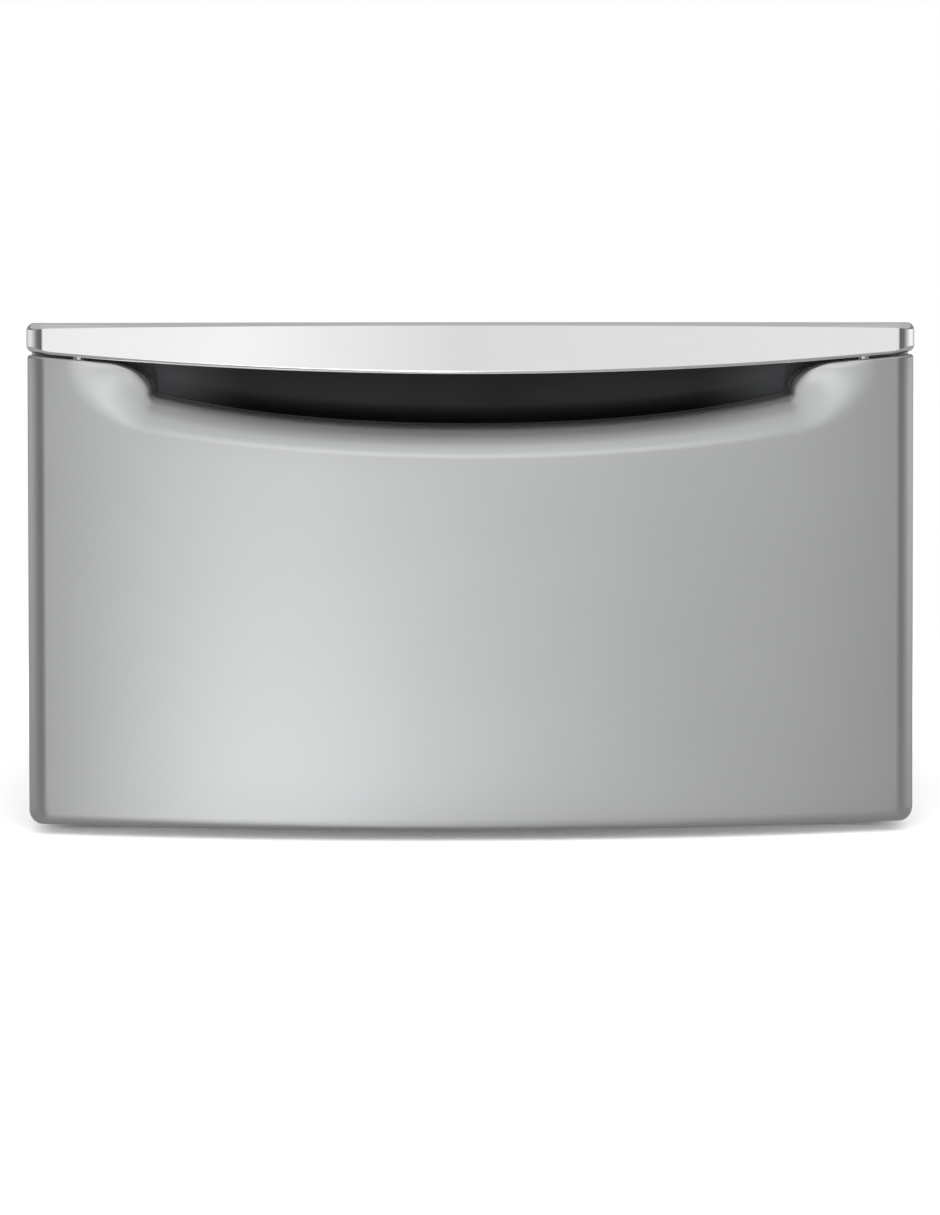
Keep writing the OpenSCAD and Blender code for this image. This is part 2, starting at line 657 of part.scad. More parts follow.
// The divider hangs by a hook over each side's hem and slides along it.
module divider() {
    hook = divider_t * 2 / 3;
    w = drawer_in - 2 * seat_gap;
    arm = drawer_half_w + drawer_hem_w + seat_gap;
    z_arm = z_drawer_top + seat_gap;
    color("#3a3d40") {
        box([-w, divider_y, drawer_lift + 2 * sheet_t + seat_gap], [w, divider_y + divider_t, z_arm + hook]);
        for (side = [LEFT, RIGHT]) for_side(side) {
            box([w - divider_shoe, divider_y - divider_shoe, z_arm],
                [arm + hook, divider_y + divider_t + divider_shoe, z_arm + hook]);
            box([arm, divider_y - divider_shoe, z_drawer_top - divider_shoe],
                [arm + hook, divider_y + divider_t + divider_shoe, z_arm + hook]);
        }
    }
}

// ---------------------------------------------------------------- slides

// A bar of a slide: u runs from the outer member's back to the drawer, w up from the centre line.
module slide_bar(u0, u1, w0, w1, y0, y1) {
    box([slide_x - u1, y0, slide_z + w0], [slide_x - u0, y1, slide_z + w1]);
}

module slide_bars(u0, u1, w0, w1, y0, y1) {
    slide_bar(u0, u1, w0, w1, y0, y1);
    slide_bar(u0, u1, -w1, -w0, y0, y1);
}

module slide_outer(side) {
    y1 = slide_y + slide_len;
    lip = outer_lip_u + slide_steel;
    color("#b7bbbe") for_side(side) difference() {
        union() {
            slide_bar(0, outer_web_u, -slide_h / 2, slide_h / 2, slide_y, y1);
            slide_bars(0, lip, slide_h / 2 - slide_steel, slide_h / 2, slide_y, y1);
            slide_bars(outer_lip_u, lip, middle_half_h + lip_gap, slide_h / 2, slide_y, y1);
        }
        for (y = slide_screw_ys) rod_x(slide_x - outer_web_u - 1, slide_x + 1, y, slide_z, bore_r);
    }
}

module slide_middle(side) {
    y1 = slide_y + moving_len;
    lip = middle_lip_u + slide_steel;
    color("#a9adb0") for_side(side) {
        slide_bar(middle_u, middle_u + slide_steel, -middle_half_h, middle_half_h, slide_y, y1);
        slide_bars(middle_u, lip, middle_half_h - slide_steel, middle_half_h, slide_y, y1);
        slide_bars(middle_lip_u, lip, inner_half_h + lip_gap, middle_half_h, slide_y, y1);
    }
}

// The release lever lies in the inner member, on a pin with a head.
lever_t = 3;
lever_gap = 0.2;
lever_head_h = 0.8;
lever_head_r = lever_pin_r + 1.2;
lever_u = [inner_web_u - lever_gap - lever_t, inner_web_u - lever_gap];
lever_pivot_y = slide_y + lever_y;
x_lever_head = slide_x - lever_u[0] + lever_gap;

module slide_inner(side) {
    y1 = slide_y + moving_len;
    color("#b7bbbe") for_side(side) {
        difference() {
            union() {
                slide_bar(inner_web_u, slide_t, -inner_half_h, inner_half_h, slide_y, y1);
                slide_bars(inner_flange_u, slide_t, inner_half_h - slide_steel, inner_half_h, slide_y, y1);
            }
            for (y = slide_screw_ys)
                rod_x(slide_x - slide_t - 1, slide_x - inner_web_u + 1, y, slide_z, bore_r);
        }
        rod_x(slide_x - slide_t, x_lever_head + lever_head_h, lever_pivot_y, slide_z, lever_pin_r);
        rod_x(x_lever_head, x_lever_head + lever_head_h, lever_pivot_y, slide_z, lever_head_r);
    }
}

ball_hole_gap = 0.1; // round a ball in its cage

// A cage is a strip with turned edges, and each edge holds a row of balls in round holes.
module ball_cage(side, u, lip_u, ball_u, ball_w, ball_r) {
    y0 = slide_y + cage_start;
    edge = [ball_w - cage_t / 2, ball_w + cage_t / 2];
    ys = [for (k = [0 : ball_count - 1]) y0 + cage_len / 2 + (k - (ball_count - 1) / 2) * ball_pitch];
    for_side(side) {
        color("#c7c9c4") difference() {
            union() {
                slide_bar(u, u + cage_t, -edge[1], edge[1], y0, y0 + cage_len);
                slide_bars(u, lip_u - cage_gap, edge[0], edge[1], y0, y0 + cage_len);
            }
            for (y = ys)
                translate([slide_x - ball_u, y, slide_z - slide_h / 2])
                    cylinder(r = ball_r + ball_hole_gap, h = slide_h);
        }
        color("#d5d8da") for (y = ys) for (w = [-ball_w, ball_w])
            translate([slide_x - ball_u, y, slide_z + w]) sphere(r = ball_r);
    }
}

module ball_cage_outer(side) {
    ball_cage(side, cage_outer_u, outer_lip_u, outer_ball_u, outer_ball_w, outer_ball_d / 2);
}

module ball_cage_inner(side) {
    ball_cage(side, cage_inner_u, middle_lip_u, inner_ball_u, inner_ball_w, inner_ball_d / 2);
}

stop_t = 8; // how far the stop reaches from the outer member's back

// The stop that the moving members meet when the drawer is shut.
module slide_detent(side) {
    y1 = slide_y + slide_len;
    color("#1c1d1f") for_side(side)
        slide_bar(outer_web_u, outer_web_u + stop_t, -slide_h / 4, slide_h / 4, y1 - stop_len, y1);
}

module release_lever(side) {
    thumb = 10;
    thumb_half_h = 3.8;
    arm_half_h = 2.6;
    tail = 12;
    hub_wall = 1.6;
    y_tip = lever_pivot_y - lever_len;
    color("#1c1d1f") for_side(side) difference() {
        union() {
            slide_bar(lever_u[0], lever_u[1], -arm_half_h, arm_half_h, y_tip, lever_pivot_y + tail);
            slide_bar(lever_u[0], lever_u[1], -thumb_half_h, thumb_half_h, y_tip, y_tip + thumb);
            rod_x(slide_x - lever_u[1], slide_x - lever_u[0], lever_pivot_y, slide_z, lever_pin_r + hub_wall);
        }
        rod_x(slide_x - slide_t, slide_x - inner_flange_u, lever_pivot_y, slide_z, lever_pin_r + run_gap);
    }
}

// Each bracket is a hat section that carries a slide from its side panel.
module slide_bracket(side) {
    post_gap = 1;
    y0 = y_post[0] + post_leg + post_gap;
    y1 = y_post[1] - post_leg - post_gap;
    z0 = slide_z - slide_h / 2;
    z1 = slide_z + slide_h / 2;
    foot_h = 15;
    color("#a3a7aa") for_side(side) difference() {
        union() {
            box([slide_x, slide_y, z0], [slide_x + bracket_t, y1, z1]);
            box([slide_x, y0, z0], [wall_in, y1, z0 + bracket_t]);
            box([slide_x, y0, z1 - bracket_t], [wall_in, y1, z1]);
            box([wall_in - bracket_t, y0, z0 - foot_h], [wall_in, y1, z0 + bracket_t]);
            box([wall_in - bracket_t, y0, z1 - bracket_t], [wall_in, y1, z1 + foot_h]);
        }
        for (y = slide_screw_ys) rod_x(slide_x - 1, slide_x + bracket_t + 1, y, slide_z, bore_r);
    }
}

module slide_rivets() {
    color("#8f9396") for (side = [LEFT, RIGHT]) for_side(side) for (y = slide_screw_ys) {
        rod_x(slide_x - outer_web_u, slide_x + bracket_t + fuse, y, slide_z, screw_r);
        rod_x(slide_x + bracket_t, slide_x + bracket_t + screw_head_h, y, slide_z, screw_head_r);
    }
}

module drawer_slide_screws() {
    color("#9da1a4") for (side = [LEFT, RIGHT]) for_side(side) for (y = slide_screw_ys) {
        rod_x(drawer_in - fuse, drawer_half_w + slide_steel, y, slide_z, screw_r);
        rod_x(drawer_in - screw_head_h, drawer_in, y, slide_z, screw_head_r);
    }
}

// ---------------------------------------------------------------- cabinet

back_screw_x = wall_in - side_flange_w / 2;
back_screw_zs = [for (share = [0.15, 0.5, 0.85]) cabinet_lift + (overall_h - cabinet_lift) * share];
deck_screw_x = 185;
deck_screw_xs = [-deck_screw_x, 0, deck_screw_x];
z_deck_screw = z_sheet_top - deck_lip_h / 2;
z_rail_top = z_sheet_top - sheet_t;

module side_panel(side) {
    hem_gap = 2;
    z_hem = [z_flange + base_rail_h + hem_gap, z_rail_top - top_rail_h - hem_gap];
    edge = wall_in - side_flange_w;
    color("#8b8e91") for_side(side) difference() {
        union() {
            box([wall_in, y_cab, cabinet_lift], [cab_half_w, y_sheet_back, z_sheet_top]);
            box([opening_half_w, y_cab, cabinet_lift], [cab_half_w, y_rail, z_sheet_top]);
            box([opening_half_w, y_cab, z_hem[0]],
                [opening_half_w + sheet_t, y_cab + front_hem_w, z_hem[1]]);
            box([edge, y_cab, z_rail_top], [cab_half_w, y_sheet_back, z_sheet_top]);
            box([edge, y_cab, cabinet_lift], [cab_half_w, y_sheet_back, z_flange]);
            box([edge, y_sheet_back - sheet_t, cabinet_lift], [cab_half_w, y_sheet_back, z_sheet_top]);
        }
        for (z = back_screw_zs) rod_y(back_screw_x, y_sheet_back - 3, y_sheet_back + 1, z, bore_r);
    }
}

// The back panel's pressed field: its depth, and its distance from the panel's sides and ends.
press_depth = 4;
press_side = 80;
press_end = 50;

module back_panel() {
    y1 = y_sheet_back - sheet_t;
    x = wall_in - press_side;
    z0 = z_flange + press_end;
    z1 = z_rail_top - press_end;
    color("#a3a7aa") difference() {
        union() {
            box([-wall_in + seat_gap, y1 - sheet_t, z_flange], [wall_in - seat_gap, y1, z_rail_top]);
            box([-x, y1 - sheet_t - press_depth, z0], [x, y1, z1]);
        }
        box([-x + sheet_t, y1 - press_depth, z0 + sheet_t], [x - sheet_t, y1 + 1, z1 - sheet_t]);
        for (side = [LEFT, RIGHT]) for (z = back_screw_zs)
            rod_y(side * back_screw_x, y1 - 3, y1 + 1, z, bore_r);
        for (x = deck_screw_xs) rod_y(x, y1 - 3, y1 + 1, z_deck_screw, bore_r);
    }
}

module back_screws() {
    color("#9da1a4") for (side = [LEFT, RIGHT]) for (z = back_screw_zs)
        screw_y(side * back_screw_x, y_sheet_back, z, short_screw_len, FRONT);
}

deck_mid_y = (y_cab + y_sheet_back) / 2;
pan = [cab_half_w - deck_rim, (y_sheet_back - y_cab) / 2 - deck_rim];

// The pan's cross-shaped field, grown by g, between two heights.
module pan_field(g, z0, z1) {
    translate([0, deck_mid_y, 0]) {
        box([-pan[0] - g, -pan[1] + pan_corner - g, z0], [pan[0] + g, pan[1] - pan_corner + g, z1]);
        box([-pan[0] + pan_corner - g, -pan[1] - g, z0], [pan[0] - pan_corner + g, pan[1] + g, z1]);
    }
}

deck_rib_end = 20; // from the ribs' ends to the sides of the pan's narrow arm

// The ribs that rise from the pan's floor, grown by g, between two heights.
module pan_ribs(g, z0, z1) {
    reach = pan[0] - pan_corner - deck_rib_end;
    step = 2 * (pan[1] - deck_rib_w) / (deck_ribs + 1);
    for (k = [1 : deck_ribs])
        translate([0, deck_mid_y - pan[1] + deck_rib_w + k * step, 0])
            box([-reach - g, -deck_rib_w / 2 - g, z0], [reach + g, deck_rib_w / 2 + g, z1]);
}

module top_deck() {
    z_pan = z_deck - pan_depth;
    z_rib = z_deck - pan_depth / 3;
    lip_w = opening_half_w - seat_gap;
    rear_lip_w = wall_in - side_flange_w - seat_gap;
    color("#8b8e91") difference() {
        union() {
            difference() {
                box([-cab_half_w, y_cab, z_pan - sheet_t], [cab_half_w, y_sheet_back, z_deck]);
                difference() {
                    pan_field(0, z_pan, z_deck + 1);
                    pan_ribs(0, z_pan - 1, z_rib);
                }
                difference() {
                    box([-cab_half_w - 1, y_cab - 1, z_pan - sheet_t - 1],
                        [cab_half_w + 1, y_sheet_back + 1, z_sheet_top]);
                    pan_field(sheet_t, z_pan - sheet_t - 2, z_deck);
                }
                pan_ribs(-sheet_t, z_pan - sheet_t - 1, z_rib - sheet_t);
            }
            box([-lip_w, y_cab, z_sheet_top - deck_lip_h], [lip_w, y_rail, z_deck]);
            box([-rear_lip_w, y_sheet_back - sheet_t, z_sheet_top - deck_lip_h],
                [rear_lip_w, y_sheet_back, z_deck]);
        }
        for (sx = [-1, 1]) for (sy = [-1, 1])
            translate([sx * bolt_spacing_x / 2, deck_mid_y + sy * bolt_spacing_y / 2, z_pan - sheet_t - 1])
                cylinder(r = bolt_hole_r, h = pan_depth + sheet_t + 2);
        for (x = deck_screw_xs) {
            rod_y(x, y_cab - 1, y_rail + 1, z_deck_screw, bore_r);
            rod_y(x, y_sheet_back - sheet_t - 1, y_sheet_back + 1, z_deck_screw, bore_r);
        }
    }
}

module deck_screws() {
    color("#9da1a4") for (x = deck_screw_xs) {
        screw_y(x, y_cab, z_deck_screw, short_screw_len, REAR);
        screw_y(x, y_sheet_back, z_deck_screw, short_screw_len, FRONT);
    }
}

// A channel across the cabinet: its web is at the front at y, and its flanges stop short of the posts.
module rail(y, z0, z1, end) {
    web_w = wall_in - seat_gap;
    post_gap = 2;
    flange_w = wall_in - post_foot - post_gap;
    y1 = y - end * sheet_t;
    tip = y - end * rail_depth;
    box([-web_w, min(y, y1), z0], [web_w, max(y, y1), z1]);
    box([-flange_w, min(y, tip), z0], [flange_w, max(y, tip), z0 + sheet_t]);
    box([-flange_w, min(y, tip), z1 - sheet_t], [flange_w, max(y, tip), z1]);
}

module front_top_rail() {
    color("#a3a7aa") difference() {
        rail(y_rail, z_rail_top - top_rail_h, z_rail_top, FRONT);
        for (x = deck_screw_xs) rod_y(x, y_rail - 1, y_rail + sheet_t + 1, z_deck_screw, bore_r);
    }
}

module base_rail(end) {
    color("#a3a7aa") rail(end == FRONT ? y_rail : y_rear_sheet, z_flange, z_flange + base_rail_h, end);
}

module corner_post(side, end) {
    y = end == FRONT ? y_post[0] : y_post[1];
    leg = y - end * post_leg;
    foot = y - end * post_t;
    color("#a3a7aa") for_side(side) difference() {
        union() {
            box([wall_in - post_t, min(y, leg), z_plate_top], [wall_in, max(y, leg), z_rail_top]);
            box([wall_in - post_foot, min(y, foot), z_plate_top], [wall_in, max(y, foot), z_rail_top]);
        }
        if (end == REAR)
            for (z = back_screw_zs) rod_y(back_screw_x, y - post_t - 1, y + 1, z, bore_r);
    }
}

// ---------------------------------------------------------------- feet

module at_foot(side, end) {
    for_side(side) translate([foot_x, end == FRONT ? foot_y[0] : foot_y[1], 0]) children();
}

foot_disc_h = 3;
foot_hex_h = 6;
pad_cup_h = 2;
pad_wall = 3;
collar_wall = 5;
z_disc_top = pad_h + foot_disc_h;
z_hex_top = z_disc_top + foot_hex_h;

module foot_plate(side, end) {
    y = end == FRONT ? y_post[0] : y_post[1];
    inner = end == FRONT ? foot_y[0] + foot_plate_reach : foot_y[1] - foot_plate_reach;
    color("#8f9396") difference() {
        union() {
            for_side(side)
                box([foot_x - foot_plate_reach, min(y, inner), z_foot_plate],
                    [wall_in, max(y, inner), z_plate_top]);
            at_foot(side, end) translate([0, 0, z_foot_plate])
                cylinder(r = stud_r + collar_wall, h = foot_plate_t + collar_h);
        }
        at_foot(side, end) translate([0, 0, z_foot_plate - 1])
            cylinder(r = stud_r + run_gap, h = foot_plate_t + collar_h + 2);
    }
}

module foot(side, end) {
    color("#a3a7aa") at_foot(side, end) {
        translate([0, 0, pad_h]) cylinder(r = pad_r - pad_wall, h = z_disc_top - pad_h);
        hexagon(hex_flats, z_disc_top - fuse, z_hex_top);
        translate([0, 0, z_hex_top - fuse]) cylinder(r = stud_r, h = stud_len + fuse);
    }
}

module foot_pad(side, end) {
    color("#232425") at_foot(side, end) difference() {
        cylinder(r = pad_r, h = pad_h + pad_cup_h);
        translate([0, 0, pad_h]) cylinder(r = pad_r - pad_wall + run_gap, h = pad_cup_h + 1);
    }
}

module lock_nut(side, end) {
    z1 = z_foot_plate - seat_gap;
    color("#9da1a4") at_foot(side, end) difference() {
        hexagon(hex_flats, z1 - nut_h, z1);
        translate([0, 0, z1 - nut_h - 1]) cylinder(r = stud_r + run_gap, h = nut_h + 2);
    }
}

module front_bumpers() {
    bumper_low = 60;
    bumper_high = 50;
    bumper_r = 5;
    x = cab_half_w - front_flange_w / 2;
    color("#232425") for (side = [LEFT, RIGHT]) for (z = [bumper_low, overall_h - bumper_high])
        rod_y(side * x, y_cab - front_gap + seat_gap, y_cab, z, bumper_r);
}

side_panel(LEFT);  // side_panel_left
side_panel(RIGHT);  // side_panel_right
back_panel();
top_deck();
front_top_rail();
base_rail(FRONT);  // base_rail_front
base_rail(REAR);  // base_rail_rear
corner_post(LEFT, FRONT);  // corner_post_front_left
corner_post(RIGHT, FRONT);  // corner_post_front_right
corner_post(LEFT, REAR);  // corner_post_rear_left
corner_post(RIGHT, REAR);  // corner_post_rear_right
foot_plate(LEFT, FRONT);  // foot_plate_front_left
foot_plate(RIGHT, FRONT);  // foot_plate_front_right
foot_plate(LEFT, REAR);  // foot_plate_rear_left
foot_plate(RIGHT, REAR);  // foot_plate_rear_right
slide_bracket(LEFT);  // slide_bracket_left
slide_bracket(RIGHT);  // slide_bracket_right
slide_outer(LEFT);  // slide_outer_left
slide_outer(RIGHT);  // slide_outer_right
slide_detent(LEFT);  // slide_detent_left
slide_detent(RIGHT);  // slide_detent_right
front_bumpers();
deck_screws();
back_screws();
slide_rivets();
foot(LEFT, FRONT);  // foot_front_left
foot(RIGHT, FRONT);  // foot_front_right
foot(LEFT, REAR);  // foot_rear_left
foot(RIGHT, REAR);  // foot_rear_right
foot_pad(LEFT, FRONT);  // foot_pad_front_left
foot_pad(RIGHT, FRONT);  // foot_pad_front_right
foot_pad(LEFT, REAR);  // foot_pad_rear_left
foot_pad(RIGHT, REAR);  // foot_pad_rear_right
lock_nut(LEFT, FRONT);  // lock_nut_front_left
lock_nut(RIGHT, FRONT);  // lock_nut_front_right
lock_nut(LEFT, REAR);  // lock_nut_rear_left
lock_nut(RIGHT, REAR);  // lock_nut_rear_right
slide_middle(LEFT);  // slide_middle_left
slide_middle(RIGHT);  // slide_middle_right
ball_cage_outer(LEFT);  // ball_cage_outer_left
ball_cage_outer(RIGHT);  // ball_cage_outer_right
ball_cage_inner(LEFT);  // ball_cage_inner_left
ball_cage_inner(RIGHT);  // ball_cage_inner_right
slide_inner(LEFT);  // slide_inner_left
slide_inner(RIGHT);  // slide_inner_right
release_lever(LEFT);  // release_lever_left
release_lever(RIGHT);  // release_lever_right
drawer_side(LEFT);  // drawer_side_left
drawer_side(RIGHT);  // drawer_side_right
drawer_back();
drawer_floor();
inner_front_panel();
front_panel();
handle_cap();
finger_pocket();
divider();
front_screws();
drawer_slide_screws();
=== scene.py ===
"""Laundry pedestal with a storage drawer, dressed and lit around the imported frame.

The bowed front, the handle cap and the pocket behind it are surfaces worked out on grids. The
cabinet, the drawer box, the slides and the feet are the frame's own pieces with softened edges.
"""
import json
import logging
import math
from dataclasses import dataclass, field
from enum import Enum
from functools import cache
from typing import Any

import bpy
import numpy as np
from mathutils import Matrix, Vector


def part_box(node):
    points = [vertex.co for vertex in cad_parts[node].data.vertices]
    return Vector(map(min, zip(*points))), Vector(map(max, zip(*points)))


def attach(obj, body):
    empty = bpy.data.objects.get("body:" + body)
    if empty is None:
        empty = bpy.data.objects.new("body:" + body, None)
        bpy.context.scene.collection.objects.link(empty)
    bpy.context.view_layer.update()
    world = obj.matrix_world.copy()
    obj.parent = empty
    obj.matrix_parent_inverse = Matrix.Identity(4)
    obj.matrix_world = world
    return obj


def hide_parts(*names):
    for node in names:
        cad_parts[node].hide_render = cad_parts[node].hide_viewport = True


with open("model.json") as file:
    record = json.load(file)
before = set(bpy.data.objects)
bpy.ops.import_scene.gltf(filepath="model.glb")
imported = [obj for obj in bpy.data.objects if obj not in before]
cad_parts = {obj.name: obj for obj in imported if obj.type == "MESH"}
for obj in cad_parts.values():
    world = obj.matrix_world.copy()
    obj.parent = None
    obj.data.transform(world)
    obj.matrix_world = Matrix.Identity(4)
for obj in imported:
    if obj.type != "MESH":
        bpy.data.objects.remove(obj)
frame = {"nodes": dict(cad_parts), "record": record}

Array = np.ndarray
Tree = bpy.types.NodeTree
Socket = bpy.types.NodeSocket

log = logging.getLogger("pedestal")
MM = 0.001
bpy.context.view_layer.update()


# -------------------- colour and nodes


def linear(code: str) -> tuple[float, float, float, float]:
    """Turns an sRGB hex colour into linear light.

    Args:
        code: the colour, such as "#8d8f91".

    Returns:
        Red, green, blue and a full alpha, as Blender's sockets take them.
    """
    parts = [int(code[k:k + 2], 16) / 255.0 for k in (1, 3, 5)]
    return (*[c / 12.92 if c <= 0.04045 else ((c + 0.055) / 1.055) ** 2.4 for c in parts], 1.0)


def add_node(tree: Tree, kind: str,
             links: dict[int | str, Socket] | None = None, **settings: Any) -> bpy.types.Node:
    """Adds a node, sets its values and links its inputs.

    Args:
        tree: the node tree that it goes into.
        kind: the node's type name without its first word, ShaderNode.
        links: input socket, by name or number, to the output socket that feeds it.
        settings: properties of the node; a dict named "values" holds values of its sockets instead.

    Returns:
        The new node.
    """
    node = tree.nodes.new("ShaderNode" + kind)
    values = settings.pop("values", {})
    for key, value in settings.items():
        setattr(node, key, value)
    for key, value in values.items():
        node.inputs[key].default_value = value
    for key, source in (links or {}).items():
        tree.links.new(source, node.inputs[key])
    return node


def remap(tree: Tree, value: Socket, source: tuple[float, float] = (0.0, 1.0),
          target: tuple[float, float] = (0.0, 1.0), **settings: Any) -> Socket:
    """Adds a node that turns one stretch of values into another and stays inside it.

    Args:
        tree: the node tree that it goes into.
        value: the value to turn.
        source: where the first stretch starts and ends.
        target: where the second one starts and ends.
        settings: properties of the node.

    Returns:
        The new value.
    """
    ends = {"From Min": source[0], "From Max": source[1], "To Min": target[0], "To Max": target[1]}
    return add_node(tree, "MapRange", {"Value": value}, values=ends, **settings).outputs[0]


def mix_colours(tree: Tree, share: Socket, *colours: Socket | tuple[float, ...]) -> Socket:
    """Adds a node that mixes two colours.

    Args:
        tree: the node tree that it goes into.
        share: how much of the second colour there is, from 0 to 1.
        colours: two colours, or the sockets that give them.

    Returns:
        The mixed colour.
    """
    mix = add_node(tree, "Mix", {"Factor": share}, data_type="RGBA")
    for socket, colour in zip((mix.inputs[6], mix.inputs[7]), colours):
        if isinstance(colour, Socket):
            tree.links.new(colour, socket)
        else:
            socket.default_value = colour
    return mix.outputs[2]


class Pattern(Enum):
    """How the fine relief of a finish is laid."""

    METALLIC_FLAKE = "flake"
    ORANGE_PEEL = "peel"
    ROLLED = "rolled"
    MOULDED = "moulded"
    SPANGLE = "spangle"


# A slow cloud, about 110 mm across, mixes a finish's two colours and varies its roughness.
CLOUD = {"Scale": 9.0, "Detail": 3.0, "Roughness": 0.55}
MIX_FROM_TO = (0.05, 0.5)
ROUGH_FROM_TO = (0.3, 0.7)
LEAST_ROUGHNESS = 0.02
# The fine pattern's noise: how much detail soft and crisp patterns have, and its own roughness.
SOFT_DETAIL, CRISP_DETAIL = 2.0, 4.0
FINE_ROUGHNESS = 0.6
# Rolling draws the grain out along the strip.
ROLLED_SCALE = (1.0, 0.02, 1.0)
# Metres off the middle between which a finish turns into the lighter colour painted at its ends,
# painted light where light falls into them.
PAINTED_LIGHT_FROM_TO = (0.17, 0.26)


@dataclass(frozen=True)
class Finish:
    """One finish: what the material is, how it was made and how that looks.

    Colours are sRGB hex, and the grain's size and the height of its relief are millimetres.
    """

    name: str
    pattern: Pattern
    colour: str
    second_colour: str
    metallic: float
    roughness: float
    rough_spread: float
    grain_mm: float
    relief_mm: float
    coat: float = 0.0
    coat_roughness: float = 0.1
    specular: float = 0.5
    # A lighter colour painted towards the ends, standing for the light that falls on them (painted
    # light); empty for none.
    painted_end_light: str = ""

    @cache
    def build(self) -> bpy.types.Material:
        """Builds the node material of this finish, once.

        Returns:
            A material that reads Object coordinates.
        """
        material = bpy.data.materials.new(self.name)
        material.use_nodes = True
        tree = material.node_tree
        tree.nodes.clear()
        place = add_node(tree, "TexCoord").outputs["Object"]
        fine = self._fine_pattern(tree, place)
        cloud = add_node(tree, "TexNoise", {"Vector": place}, values=CLOUD).outputs["Fac"]
        mix = add_node(tree, "Math", {0: fine, 1: cloud}, operation="MULTIPLY").outputs[0]
        base = mix_colours(tree, remap(tree, mix, MIX_FROM_TO),
                           linear(self.colour), linear(self.second_colour))
        # Painted light: the ends turn lighter where light falls into them.
        if self.painted_end_light:
            base = self._paint_light_at_ends(tree, place, base)
        rough = remap(tree, cloud, ROUGH_FROM_TO,
                      (max(self.roughness - self.rough_spread, LEAST_ROUGHNESS),
                       self.roughness + self.rough_spread))
        bump = add_node(tree, "Bump", {"Height": fine},
                        values={"Strength": 1.0, "Distance": self.relief_mm * MM}).outputs[0]
        shader = add_node(tree, "BsdfPrincipled",
                          {"Base Color": base, "Roughness": rough, "Normal": bump},
                          values={"Metallic": self.metallic, "Specular IOR Level": self.specular,
                                  "Coat Weight": self.coat, "Coat Roughness": self.coat_roughness})
        add_node(tree, "OutputMaterial", {"Surface": shader.outputs[0]})
        return material

    def _paint_light_at_ends(self, tree: Tree, place: Socket, base: Socket) -> Socket:
        """Paints light into the ends: turns the colour softly into a lighter end colour away from
        the middle, a painted glow where light falls in at the ends.

        Args:
            tree: the material's node tree.
            place: the point on the piece.
            base: the colour in the middle.

        Returns:
            The colour.
        """
        x = add_node(tree, "SeparateXYZ", {0: place}).outputs[0]
        off = add_node(tree, "Math", {0: x}, operation="ABSOLUTE").outputs[0]
        share = remap(tree, off, PAINTED_LIGHT_FROM_TO, interpolation_type="SMOOTHSTEP")
        return mix_colours(tree, share, base, linear(self.painted_end_light))

    def _fine_pattern(self, tree: Tree, place: Socket) -> Socket:
        """Adds the fine pattern.

        Args:
            tree: the material's node tree.
            place: the point on the piece.

        Returns:
            The pattern's value, from 0 to 1.
        """
        # A texture of scale s repeats about every 1/s metres, so a grain of g mm needs 1000/g.
        cells = 1.0 / (self.grain_mm * MM)
        if self.pattern is Pattern.SPANGLE:
            crystal = add_node(tree, "TexVoronoi", {"Vector": place},
                               values={"Scale": cells}).outputs["Color"]
            return add_node(tree, "SeparateColor", {0: crystal}).outputs[0]
        if self.pattern is Pattern.ROLLED:
            place = add_node(tree, "Mapping", {"Vector": place},
                             values={"Scale": ROLLED_SCALE}).outputs[0]
        soft = self.pattern in (Pattern.ORANGE_PEEL, Pattern.MOULDED)
        return add_node(tree, "TexNoise", {"Vector": place},
                        values={"Scale": cells, "Detail": SOFT_DETAIL if soft else CRISP_DETAIL,
                                "Roughness": FINE_ROUGHNESS}).outputs["Fac"]


